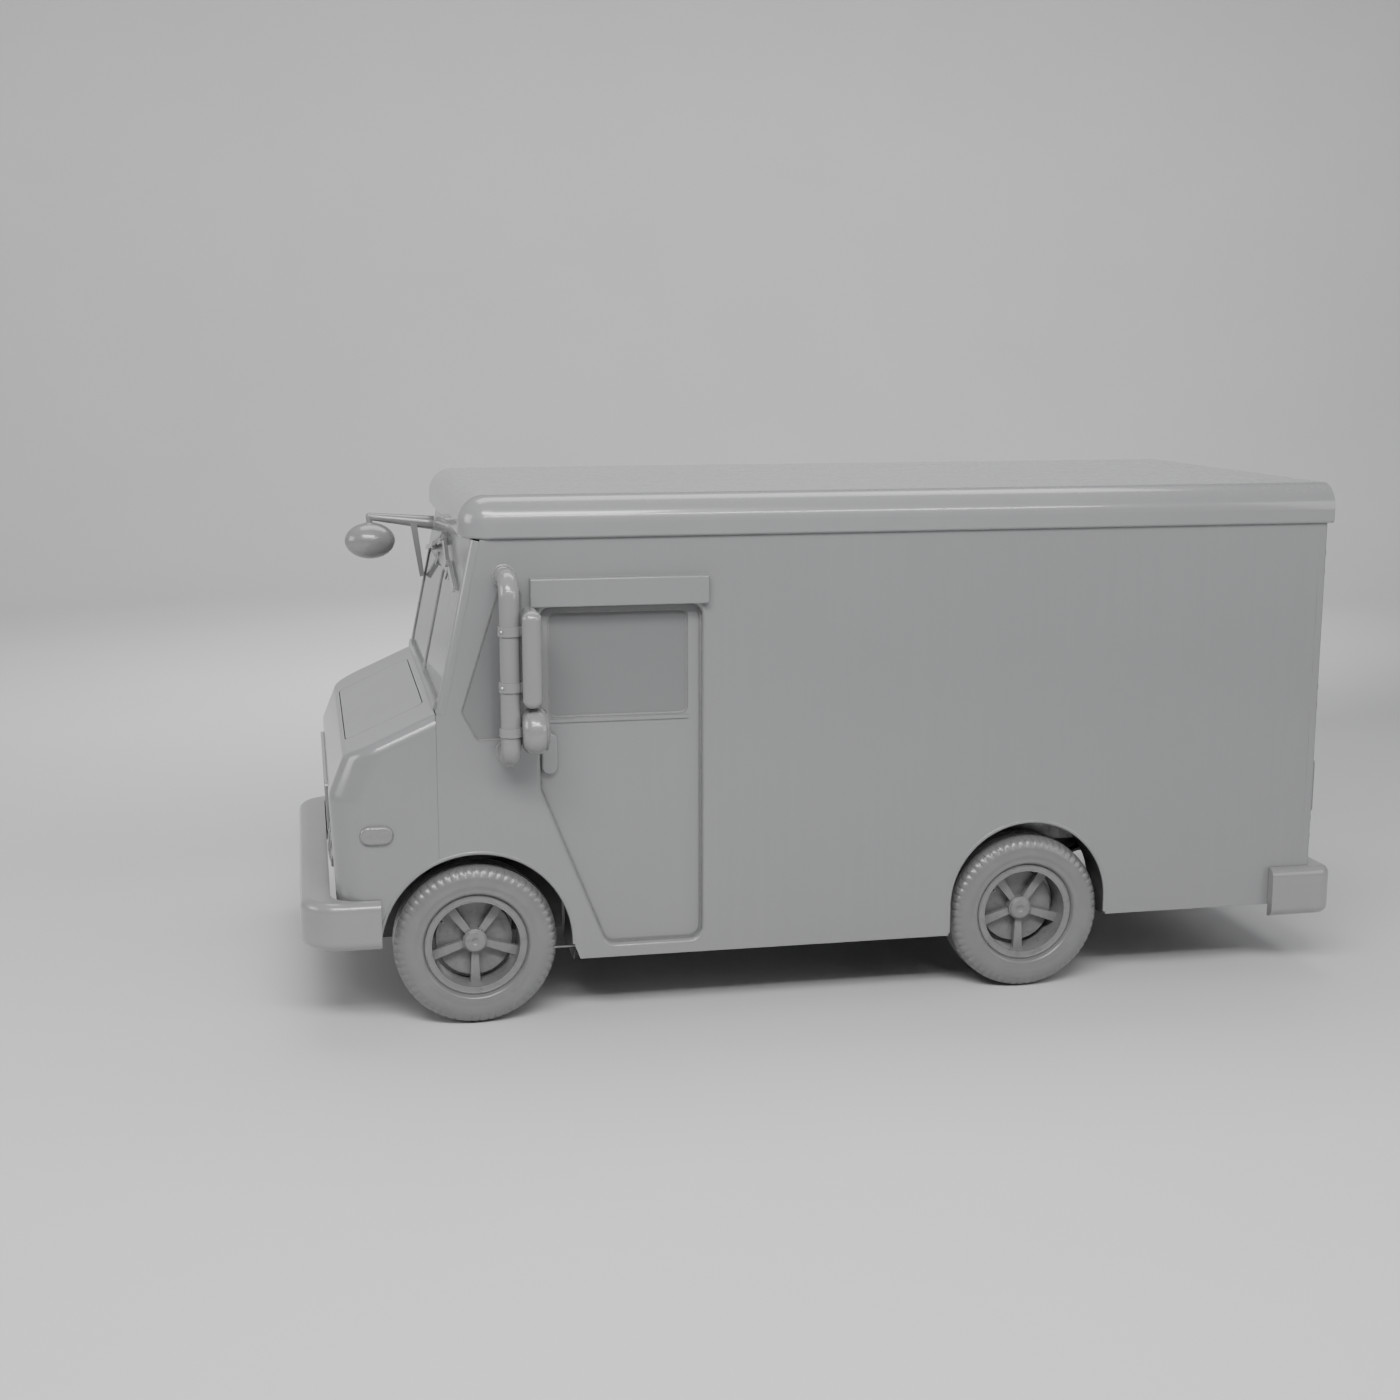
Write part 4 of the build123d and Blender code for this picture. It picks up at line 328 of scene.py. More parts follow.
def moulding_finish(name, colour):
    finish = Finish(name, colour, 0.28)
    finish.fix(Coat_Weight=0.6, Coat_Roughness=0.12)
    finish.mottle(finish.noise(4.0, 5.0), 0.08)
    scuffs = finish.span(finish.noise(26.0, 8.0, (1, 1, 5), 1.5), 0.63, 0.7, 0.0, 0.5)
    finish.tint(scuffs, tuple(Vector(colour) * 1.35)).dull(scuffs, 0.6)
    dusty(finish, 0.6, 0.3)
    finish.soften(4.0 * MM)
    finish.relief(finish.cells(620.0, "SMOOTH_F1"), 0.06 * MM)
    return finish.material


def housing_finish(name, colour):
    finish = Finish(name, colour, 0.24)
    finish.fix(Coat_Weight=0.7, Coat_Roughness=0.08)
    finish.mottle(finish.noise(3.0, 3.0), 0.03)
    finish.dull(finish.span(finish.noise(6.0, 3.0), 0.5, 0.8), 0.28)
    finish.relief(finish.noise(420.0, 2.0), 0.008 * MM)
    return finish.material


def glass_finish(name, colour):
    finish = Finish(name, colour, 0.05)
    finish.fix(Transmission_Weight=0.15, IOR=1.5, Coat_Weight=0.3, Coat_Roughness=0.03)
    # Panes that face sideways go over to the lighter side glass colour, so the forward-facing windscreen
    # keeps a darker colour that is partly painted shade.
    parts = finish.add("ShaderNodeSeparateXYZ")
    finish.link(finish.add("ShaderNodeNewGeometry").outputs["Normal"], parts.inputs["Vector"])
    ahead = finish.span(parts.outputs["X"], 0.5, 0.3)
    finish.tint(ahead, tuple(shades().side_glass))
    finish.dull(finish.span(finish.noise(11.0, 7.0, (1, 1, 0.4)), 0.5, 0.8), 0.16)
    finish.relief(finish.noise(4.0, 1.0), 0.15 * MM)
    return finish.material


def lens_finish(name, colour):
    finish = Finish(name, colour, 0.14)
    finish.fix(Transmission_Weight=0.3, IOR=1.49, Coat_Weight=0.7, Coat_Roughness=0.05)
    finish.mottle(finish.noise(30.0, 3.0), 0.12)
    finish.relief(finish.wave(46.0, "Z"), 0.35 * MM)
    finish.relief(finish.wave(46.0, "X"), 0.25 * MM)
    return finish.material


def clear_finish(name, colour):
    finish = Finish(name, colour, 0.04)
    finish.fix(Transmission_Weight=0.9, IOR=1.5, Coat_Weight=0.5, Coat_Roughness=0.03)
    finish.mottle(finish.noise(20.0, 3.0), 0.05)
    finish.relief(finish.wave(34.0, "Y"), 0.5 * MM)
    return finish.material


def rubber_finish(name, colour):
    finish = Finish(name, colour, 0.3)
    finish.fix(Specular_IOR_Level=0.6, Coat_Weight=0.25, Coat_Roughness=0.22)
    finish.mottle(finish.noise(9.0, 6.0), 0.1)
    dust = finish.span(finish.noise(17.0, 8.0, distortion=0.6), 0.55, 0.85, 0.0, 0.1)
    finish.tint(dust, tuple(shades().dust)).dull(dust, 0.6)
    finish.relief(finish.noise(900.0, 3.0), 0.03 * MM)
    return finish.material


def seal_finish(name, colour):
    finish = Finish(name, colour, 0.55)
    finish.mottle(finish.noise(40.0, 5.0), 0.25)
    finish.relief(finish.noise(1200.0, 2.0), 0.04 * MM)
    return finish.material


def wheel_finish(name, colour):
    finish = Finish(name, colour, 0.33)
    finish.fix(Coat_Weight=0.3, Coat_Roughness=0.2)
    finish.mottle(finish.noise(14.0, 6.0), 0.12)
    soot = finish.span(finish.noise(24.0, 8.0, distortion=1.0), 0.5, 0.78, 0.0, 0.5)
    finish.tint(soot, tuple(Vector(colour) * 0.5)).dull(soot, 0.7)
    finish.soften(2.5 * MM)
    finish.relief(finish.noise(380.0, 3.0), 0.05 * MM)
    return finish.material


def bright_finish(name, colour):
    finish = Finish(name, colour, 0.26, 1.0)
    finish.mottle(finish.noise(30.0, 6.0), -0.18)
    finish.dull(finish.span(finish.noise(60.0, 8.0, (1, 1, 9)), 0.4, 0.8), 0.48)
    finish.relief(finish.noise(500.0, 4.0, (1, 1, 0.06)), 0.02 * MM)
    return finish.material


def mirror_finish(name, colour):
    finish = Finish(name, tuple(Vector(colour) * 1.7), 0.02, 1.0)
    finish.fix(Coat_Weight=0.4, Coat_Roughness=0.02)
    finish.mottle(finish.noise(6.0, 3.0), -0.06)
    finish.dull(finish.span(finish.noise(18.0, 8.0), 0.6, 0.85), 0.12)
    return finish.material


def chassis_finish(name, colour):
    finish = Finish(name, colour, 0.5)
    finish.mottle(finish.noise(12.0, 6.0), 0.3)
    dirt = finish.span(finish.noise(7.0, 8.0, distortion=0.8), 0.45, 0.75, 0.0, 0.45)
    finish.tint(dirt, tuple(Vector(shades().dust) * 0.55)).dull(dirt, 0.9)
    chips = finish.span(finish.noise(95.0, 8.0), 0.68, 0.72, 0.0, 0.8)
    finish.tint(chips, (0.16, 0.15, 0.145)).dull(chips, 0.6)
    finish.soften(2.0 * MM)
    finish.relief(finish.noise(260.0, 5.0), 0.15 * MM)
    return finish.material


def cast_finish(name, colour):
    finish = Finish(name, colour, 0.55, 0.35)
    finish.mottle(finish.noise(15.0, 6.0), 0.25)
    finish.tint(finish.span(finish.noise(30.0, 8.0), 0.55, 0.8, 0.0, 0.4), (0.14, 0.13, 0.12))
    finish.soften(2.5 * MM)
    finish.relief(finish.cells(330.0), 0.25 * MM)
    finish.relief(finish.noise(140.0, 4.0), 0.3 * MM)
    return finish.material


def spring_finish(name, colour):
    finish = Finish(name, tuple(Vector(colour) * 1.2), 0.45, 0.6)
    finish.mottle(finish.noise(6.0, 6.0, (1, 6, 6)), 0.35)
    finish.relief(finish.noise(150.0, 5.0, (0.1, 1, 1)), 0.15 * MM)
    return finish.material


def tread_plate_finish(name, colour):
    finish = Finish(name, colour, 0.36, 0.9)
    finish.mottle(finish.noise(5.0, 6.0), -0.2)
    worn = finish.span(finish.noise(22.0, 8.0, (1, 3, 1)), 0.4, 0.8)
    finish.dull(worn, 0.55)
    lugs = finish.cells(58.0, "F1", (1.0, 0.45, 1.0))
    finish.relief(finish.span(lugs, 0.45, 0.2), 0.9 * MM)
    finish.relief(finish.noise(700.0, 3.0, (0.1, 1, 1)), 0.03 * MM)
    return finish.material


def plastic_finish(name, colour):
    finish = Finish(name, colour, 0.5)
    finish.mottle(finish.noise(10.0, 5.0), 0.12)
    finish.dull(finish.span(finish.noise(35.0, 6.0), 0.55, 0.85), 0.36)
    finish.soften(2.5 * MM)
    finish.relief(finish.cells(480.0, "SMOOTH_F1"), 0.12 * MM)
    return finish.material


def pedal_finish(name, colour):
    finish = Finish(name, tuple(Vector(colour) * 0.6), 0.6)
    finish.mottle(finish.noise(60.0, 5.0), 0.3)
    finish.relief(finish.noise(900.0, 3.0), 0.05 * MM)
    return finish.material


def vinyl_finish(name, colour):
    finish = Finish(name, colour, 0.42)
    finish.fix(Coat_Weight=0.12, Coat_Roughness=0.3, Sheen_Weight=0.08, Sheen_Roughness=0.4)
    finish.mottle(finish.noise(7.0, 6.0), 0.2)
    rubbed = finish.span(finish.noise(12.0, 7.0), 0.45, 0.75, 0.0, 0.5)
    worn = finish.times(finish.facing_up(0.5, 1.0), rubbed)
    finish.tint(worn, tuple(Vector(colour) * 1.6)).dull(worn, 0.3)
    finish.relief(finish.cells(430.0, "DISTANCE_TO_EDGE"), 0.22 * MM)
    finish.relief(finish.noise(28.0, 4.0, distortion=0.5), 0.7 * MM)
    return finish.material


def floor_finish(name, colour):
    finish = Finish(name, colour, 0.62)
    finish.mottle(finish.noise(0.6, 5.0), 0.03)
    finish.relief(finish.noise(80.0, 3.0), 0.05 * MM)
    return finish.material


# Each of the record's slots, the setting that colours it, and how it is finished.
SLOT_FINISHES = {
    "body_paint": ("paint", paint_finish),
    "roof_shell": ("roof", roof_finish),
    "bumper_moulding": ("bumper", moulding_finish),
    "mirror_housing": ("housing", housing_finish),
    "window_glass": ("glass", glass_finish),
    "lamp_glass": ("lens", clear_finish),
    "lamp_lens": ("lens", lens_finish),
    "wiper_black": ("housing", housing_finish),
    "tyre_rubber": ("rubber", rubber_finish),
    "wheel_steel": ("rim", wheel_finish),
    "bright_steel": ("bright", bright_finish),
    "chassis_steel": ("dark_steel", chassis_finish),
    "chassis_iron": ("cast", cast_finish),
    "spring_steel": ("dark_steel", spring_finish),
    "engine_iron": ("cast", cast_finish),
    "floor_aluminium": ("aluminium", tread_plate_finish),
    "cab_plastic": ("plastic", plastic_finish),
    "pedal_rubber": ("seal", pedal_finish),
    "seat_vinyl": ("vinyl", vinyl_finish),
}
EXTRA_FINISHES = {
    "seal_rubber": ("seal", seal_finish),
    "mirror_glass": ("bright", mirror_finish),
    "studio_floor": ("floor", floor_finish),
}
_finishes = {}


def finish_named(name):
    """The material of that finish, made the first time it is asked for."""
    if name not in _finishes:
        setting, make = {**SLOT_FINISHES, **EXTRA_FINISHES}[name]
        _finishes[name] = make("finish_" + name, tuple(getattr(shades(), setting)))
    return _finishes[name]


# ---------------------------------------------------------------- shapes
def perpendicular(axis):
    """Two directions square to an axis and to each other."""
    axis = axis.normalized()
    helper = UP if abs(axis.z) < 0.9 else FORWARD
    across = axis.cross(helper).normalized()
    return across, across.cross(axis).normalized()


class Shape:
    """Points and faces of one piece, in the truck's own frame."""

    def __init__(self):
        self.points = []
        self.faces = []

    def rings(self, rows, around=True, along=False, caps=True):
        """Joins rows of points into a skin: around closes each row, along joins the last row to the first."""
        start = len(self.points)
        width = len(rows[0])
        for row in rows:
            self.points.extend(Vector(p) for p in row)
        for i in range(len(rows) if along else len(rows) - 1):
            here = start + i * width
            there = start + ((i + 1) % len(rows)) * width
            for j in range(width if around else width - 1):
                k = (j + 1) % width
                self.faces.append((here + j, here + k, there + k, there + j))
        if caps and around and not along:
            self.faces.append(tuple(range(start + width - 1, start - 1, -1)))
            last = start + (len(rows) - 1) * width
            self.faces.append(tuple(range(last, last + width)))
        return self

    def lathe(self, centre, axis, profile, steps=48, closed=False):
        """Turns (along, radius) pairs about an axis through a centre."""
        centre, axis = Vector(centre), Vector(axis).normalized()
        across, over = perpendicular(axis)
        rows = []
        for along, radius in profile:
            middle = centre + axis * along
            rows.append([
                middle + (across * math.cos(t) + over * math.sin(t)) * max(radius, 0.00002)
                for t in (FULL_TURN * i / steps for i in range(steps))
            ])
        return self.rings(rows, along=closed, caps=not closed)

    def tube(self, path, radius, sides=12, closed=False):
        """A round bar along a path."""
        path = [Vector(p) for p in path]
        rows = []
        over = None
        for i, point in enumerate(path):
            before = path[i - 1] if i or closed else point
            after = path[(i + 1) % len(path)] if i + 1 < len(path) or closed else point
            tangent = (after - before).normalized()
            if over is None:
                over = perpendicular(tangent)[0]
            over = (over - tangent * over.dot(tangent)).normalized()
            side = tangent.cross(over)
            rows.append([
                point + (over * math.cos(t) + side * math.sin(t)) * radius
                for t in (FULL_TURN * j / sides for j in range(sides))
            ])
        return self.rings(rows, along=closed, caps=not closed)

    def strip(self, path, normal, section, closed=True):
        """Sweeps a section of (outward, up) pairs along a flat path; up is the path's own normal."""
        path = [Vector(p) for p in path]
        normal = Vector(normal).normalized()
        rows = []
        for i, point in enumerate(path):
            before = path[i - 1] if i or closed else point
            after = path[(i + 1) % len(path)] if i + 1 < len(path) or closed else point
            first = (point - before).normalized() if before is not point else (after - point).normalized()
            second = (after - point).normalized() if after is not point else first
            out = ((first + second).normalized()).cross(normal)
            mitre = 1 / max(0.5, out.dot(first.cross(normal)))
            rows.append([point + out * (u * mitre) + normal * v for u, v in section])
        return self.rings(rows, along=closed, caps=not closed)

    def prism(self, outline, direction, depth, edge=0.0):
        """A flat outline pushed to a depth, with its far rim chamfered by edge."""
        outline = [Vector(p) for p in outline]
        direction = Vector(direction).normalized()
        middle = sum(outline, Vector()) / len(outline)
        rows = [outline, [p + direction * (depth - edge) for p in outline]]
        if edge:
            rows.append([
                p + direction * depth + (middle - p).normalized() * edge for p in outline
            ])
        return self.rings(rows)

    def box(self, low, high):
        low, high = Vector(low), Vector(high)
        foot = [
            (low.x, low.y, low.z), (high.x, low.y, low.z), (high.x, high.y, low.z), (low.x, high.y, low.z),
        ]
        return self.prism(foot, UP, high.z - low.z)

    def bolt(self, centre, axis, across=13 * MM, height=7 * MM):
        """A hexagon head on a washer."""
        centre, axis = Vector(centre), Vector(axis).normalized()
        radius = across / 2 / math.cos(math.pi / 6)
        washer = 1.6 * MM
        brim = radius * 1.25
        self.lathe(centre, axis, [(0, brim), (washer * 0.8, brim), (washer, radius * 1.18)], 20)
        top = [(washer, radius), (height - 1 * MM, radius), (height, radius * 0.86)]
        return self.lathe(centre, axis, top, 6)

    def rivet(self, centre, axis, radius):
        dome = [(0, radius), (radius * 0.3, radius * 0.88), (radius * 0.52, radius * 0.5), (radius * 0.6, 0)]
        return self.lathe(centre, axis, dome, 10)

    def mirrored(self):
        """The same shape for the truck's other side."""
        other = Shape()
        other.points = [Vector((p.x, -p.y, p.z)) for p in self.points]
        other.faces = [tuple(reversed(face)) for face in self.faces]
        return other

    def moved(self, matrix):
        self.points = [matrix @ p for p in self.points]
        return self

    def join(self, *others):
        for other in others:
            start = len(self.points)
            self.points.extend(other.points)
            self.faces.extend(tuple(start + i for i in face) for face in other.faces)
        return self


def piece(shape, name, body, finish, slot=None, sharp=35.0, bevel=0.0):
    """Makes a shape into an object with a finish, which rides on a body."""
    mesh = bpy.data.meshes.new(name)
    mesh.from_pydata([tuple(p) for p in shape.points], [], shape.faces)
    mesh.validate()
    made = bpy.data.objects.new(name, mesh)
    bpy.context.scene.collection.objects.link(made)
    tidy(mesh)
    mesh.materials.append(finish_named(finish))
    if bevel:
        rounding = made.modifiers.new("edges", "BEVEL")
        rounding.width = bevel
        rounding.segments = 2
        rounding.limit_method = "ANGLE"
        rounding.angle_limit = math.radians(40)
    mesh.polygons.foreach_set("use_smooth", [True] * len(mesh.polygons))
    mesh.set_sharp_from_angle(angle=math.radians(sharp))
    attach(made, body)
    return made


def tidy(mesh):
    """Welds points that meet and turns every face outwards."""
    work = bmesh.new()
    work.from_mesh(mesh)
    bmesh.ops.remove_doubles(work, verts=work.verts, dist=0.00003)
    bmesh.ops.recalc_face_normals(work, faces=work.faces)
    work.to_mesh(mesh)
    work.free()


def both(make, name, finish, bodies, **options):
    """A left shape and its twin on the right; bodies is the left one's body, or both."""
    left = make
    first, second = bodies if isinstance(bodies, tuple) else (bodies, bodies)
    return [
        piece(left, "left_" + name, first, finish, **options),
        piece(left.mirrored(), "right_" + name, second, finish, **options),
    ]


def rounded_rectangle(centre, across, over, width, tall, radius, steps=6):
    """Points of a rounded rectangle about a centre, in the plane of two directions."""
    points = []
    for sx, sy, start in ((1, 1, 0.0), (-1, 1, 0.25), (-1, -1, 0.5), (1, -1, 0.75)):
        for i in range(steps + 1):
            t = FULL_TURN * (start + 0.25 * i / steps)
            x = sx * (width / 2 - radius) + radius * math.cos(t)
            y = sy * (tall / 2 - radius) + radius * math.sin(t)
            points.append(centre + across * x + over * y)
    return points


def edge_loops(node, direction, nearest=0.0004):
    """Closed outlines of a node's outermost flat face that looks in a direction, longest first."""
    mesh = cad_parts[node].data
    direction = Vector(direction).normalized()
    flat = [
        polygon for polygon in mesh.polygons
        if polygon.normal.dot(direction) > 0.9995
    ]
    if not flat:
        raise RuntimeError(f"{node} has no face that looks along {tuple(direction)}")
    outermost = max(polygon.center.dot(direction) for polygon in flat)
    return outlines(mesh, [p for p in flat if p.center.dot(direction) > outermost - nearest])


def outlines(mesh, polygons):
    """Chains the free edges of some polygons into closed loops, longest first."""
    seen = {}
    spots = {}
    for polygon in polygons:
        corners = [tuple(round(c, 5) for c in mesh.vertices[v].co) for v in polygon.vertices]
        for a, b in zip(corners, corners[1:] + corners[:1]):
            spots[a], spots[b] = Vector(a), Vector(b)
            if (b, a) in seen:
                del seen[(b, a)]
            else:
                seen[(a, b)] = True
    following = {a: b for a, b in seen}
    loops = []
    while following:
        start, here = next(iter(following.items()))
        del following[start]
        loop = [spots[start]]
        while here != start and here in following:
            loop.append(spots[here])
            here = following.pop(here)
        loops.append(loop)
    return sorted(loops, key=lambda loop: -sum((p - q).length for p, q in zip(loop, loop[1:] + loop[:1])))


# ---------------------------------------------------------------- stage
class TRUCK_OT_stage(bpy.types.Operator):
    """Pale floor that curves up all round, soft lights and the camera"""

    bl_idname = "truck.stage"
    bl_label = "Stage, lights and camera"

    FLOOR_FLAT = 15.0
    CURVE = 6.0
    WALL_TOP = 9.0
    CAMERA_AT = (2.406, 9.499, 3.049)
    CAMERA_AZIMUTH = 168.44
    CAMERA_PITCH = 10.38
    # name, place, aimed at, width, height, watts
    LIGHTS = (
        ("key", (2.5, 7.0, 7.6), (0.0, 0.6, 1.4), 7.0, 1.6, 680),
        ("fill", (-7.5, 6.0, 4.0), (-0.5, 0.0, 1.0), 5.0, 4.0, 150),
        ("strip", (0.5, 6.5, 5.2), (0.0, 1.0, 1.6), 9.0, 0.3, 210),
        ("front", (9.5, 0.5, 4.0), (1.5, 0.0, 1.0), 4.0, 3.0, 170),
        ("back", (-2.0, -7.0, 6.5), (0.0, -14.0, 3.0), 12.0, 4.0, 1100),
        ("top", (0.0, -2.0, 8.5), (0.0, -3.0, 0.0), 9.0, 4.0, 420),
    )

    def execute(self, context):
        self.floor()
        for light in self.LIGHTS:
            self.lamp(context, *light)
        self.sky(context)
        self.camera(context)
        return {"FINISHED"}

    def floor(self):
        steps = 14
        bend = [
            (self.CURVE * (1 - math.cos(t)), self.FLOOR_FLAT + self.CURVE * math.sin(t))
            for t in (math.pi / 2 * i / steps for i in range(steps + 1))
        ]
        profile = [(0.0, 0.0), (0.0, self.FLOOR_FLAT * 0.5), *bend, (self.WALL_TOP, bend[-1][1])]
        shape = Shape().lathe((0, 0, CAD_BOX[0].z - 0.0005), UP, profile, 96)
        shape.faces = shape.faces[:-2]
        mesh = bpy.data.meshes.new("studio_floor")
        mesh.from_pydata([tuple(p) for p in shape.points], [], shape.faces)
        tidy(mesh)
        mesh.polygons.foreach_set("use_smooth", [True] * len(mesh.polygons))
        made = bpy.data.objects.new("studio_floor", mesh)
        bpy.context.scene.collection.objects.link(made)
        mesh.materials.append(finish_named("studio_floor"))

    def lamp(self, context, name, place, aim, width, tall, watts):
        data = bpy.data.lights.new(name + "_light", "AREA")
        data.shape = "RECTANGLE"
        data.size, data.size_y = width, tall
        data.energy = watts
        made = bpy.data.objects.new(name + "_light", data)
        made.location = place
        made.rotation_mode = "QUATERNION"
        made.rotation_quaternion = (Vector(aim) - Vector(place)).to_track_quat("-Z", "Y")
        context.scene.collection.objects.link(made)

    def sky(self, context):
        world = bpy.data.worlds.new("studio_air")
        world.use_nodes = True
        background = world.node_tree.nodes["Background"]
        background.inputs["Color"].default_value = (0.93, 0.95, 1.0, 1.0)
        background.inputs["Strength"].default_value = 0.3
        context.scene.world = world

    def camera(self, context):
        data = bpy.data.cameras.new("camera")
        data.lens = 50.0
        data.sensor_width = 36.0
        data.clip_end = 200.0
        made = bpy.data.objects.new("camera", data)
        azimuth, pitch = math.radians(self.CAMERA_AZIMUTH), math.radians(self.CAMERA_PITCH)
        back = Vector((
            math.sin(azimuth) * math.cos(pitch), -math.cos(azimuth) * math.cos(pitch), math.sin(pitch),
        ))
        made.location = self.CAMERA_AT
        made.rotation_mode = "QUATERNION"
        made.rotation_quaternion = (-back).to_track_quat("-Z", "Y")
        context.scene.collection.objects.link(made)
        context.scene.camera = made


# ---------------------------------------------------------------- frame's own pieces
class TRUCK_OT_frame_finishes(bpy.types.Operator):
    """Gives every piece of the frame the finish of its slot"""

    bl_idname = "truck.frame_finishes"
    bl_label = "Finishes of the frame"

    def execute(self, context):
        for node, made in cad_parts.items():
            for i, old in enumerate(made.data.materials):
                name = old.name.split(".")[0]
                if name not in SLOT_FINISHES:
                    raise RuntimeError(f"{node} has slot {name}, which has no finish")
                made.material_slots[i].material = finish_named(name)
        return {"FINISHED"}


# ---------------------------------------------------------------- wheels
WHEELS = ("front_left", "front_right", "rear_left", "rear_right")


def wheel_centre(wheel):
    low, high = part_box(wheel + "_tyre")
    return (low + high) / 2


def outward(wheel):
    return LEFT if "left" in wheel else -LEFT


class TRUCK_OT_tyres(bpy.types.Operator):
    """Tyres with a grooved tread, lugged shoulders and stepped sidewalls"""

    bl_idname = "truck.tyres"
    bl_label = "Tyres"

    # Columns of one pitch of the tread, as shares of it; the shoulder slot lies between the second and third.
    COLUMNS = (0.0, 0.1, 0.3, 0.4, 0.7)
    GROOVES = (-0.52, -0.18, 0.18, 0.52)
    GROOVE_HALF = 0.04
    SLOPE = 0.012

    def execute(self, context):
        for wheel in WHEELS:
            shape = self.tyre(wheel_centre(wheel), wheel)
            made = piece(shape, wheel + "_tyre_tread", wheel + "_wheel", "tyre_rubber", sharp=38)
            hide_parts(wheel + "_tyre")
        return {"FINISHED"}

    def crown(self, radius):
        """Height of the carcass across the tyre, as (share of the half width, radius)."""
        return [
            (0.0, radius), (0.3, radius - 1.2 * MM), (0.56, radius - 4 * MM), (0.74, radius - 11 * MM),
            (0.86, radius - 23 * MM),
        ]

    def sidewall(self, radius, flange):
        """Points of the sidewall from the shoulder to the bead, with its raised bands."""
        return [
            (0.905, radius - 34 * MM), (0.94, radius - 43 * MM), (0.962, radius - 51 * MM),
            (0.972, radius - 54 * MM), (0.985, radius - 66 * MM), (0.993, radius - 78 * MM),
            (0.985, radius - 92 * MM), (0.976, radius - 96 * MM), (0.966, radius - 99 * MM),
            (0.952, radius - 107 * MM), (0.94, flange + 26 * MM), (0.945, flange + 22 * MM),
            (0.93, flange + 15 * MM), (0.88, flange + 9 * MM), (0.79, flange + 5 * MM),
            (0.71, flange + 2 * MM), (0.69, flange - 12 * MM),
        ]

    def radius_at(self, share, points):
        share = abs(share)
        for (a, ra), (b, rb) in zip(points, points[1:]):
            if share <= b:
                t = (share - a) / (b - a)
                return ra + (rb - ra) * (t * t * (3 - 2 * t) if b > 0.7 else t)
        return points[-1][1]

    def tyre(self, centre, wheel):
        low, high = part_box(wheel + "_tyre")
        rim_low, rim_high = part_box(wheel + "_rim")
        radius = (high.z - low.z) / 2
        half = (high.y - low.y) / 2
        flange = (rim_high.z - rim_low.z) / 2
        depth = sizes().tread_depth
        pitches = sizes().tread_pitches
        crown = self.crown(radius)
        across = self.tread_rows()
        turns = [(i + c) / pitches for i in range(pitches) for c in self.COLUMNS]
        rows = []
        for share, groove in across:
            row = []
            for n, turn in enumerate(turns):
                column = n % len(self.COLUMNS)
                wander = 0.016 * (1 if column in (1, 2, 3) else -1) if abs(share) < 0.7 else 0.0
                place = share + wander
                level = self.radius_at(place, crown)
                slot = abs(share) > 0.66 and column in (1, 2)
                if groove:
                    level -= depth
                elif slot:
                    level -= depth * 0.55
                row.append(self.spot(centre, turn, place * half, level))
            rows.append(row)
        inner = self.wall(centre, turns, half, self.sidewall(radius, flange), -1)
        outer = self.wall(centre, turns, half, self.sidewall(radius, flange), 1)
        return Shape().rings(list(reversed(inner)) + rows + outer, caps=False, along=True)

    def tread_rows(self):
        """Places across the tread and whether each lies in a groove."""
        rows = [(-0.86, False), (-0.78, False), (-0.67, False)]
        for groove in self.GROOVES:
            rows += [
                (groove - self.GROOVE_HALF - self.SLOPE, False), (groove - self.GROOVE_HALF, True),
                (groove + self.GROOVE_HALF, True), (groove + self.GROOVE_HALF + self.SLOPE, False),
            ]
        return rows + [(0.67, False), (0.78, False), (0.86, False)]

    def wall(self, centre, turns, half, points, side):
        """Rows of one sidewall; the first ones carry the shoulder's slots over the edge."""
        rows = []
        for depth_row, (share, radius) in enumerate(points):
            row = []
            for n, turn in enumerate(turns):
                slot = depth_row < 2 and n % len(self.COLUMNS) in (1, 2)
                sunk = (2.6 - 1.6 * depth_row) * MM if slot else 0.0
                row.append(self.spot(centre, turn, side * (share * half - sunk * 0.6), radius - sunk * 0.5))
            rows.append(row)
        return rows

    def spot(self, centre, turn, across, radius):
        angle = FULL_TURN * turn
        return centre + Vector((radius * math.sin(angle), across, radius * math.cos(angle)))


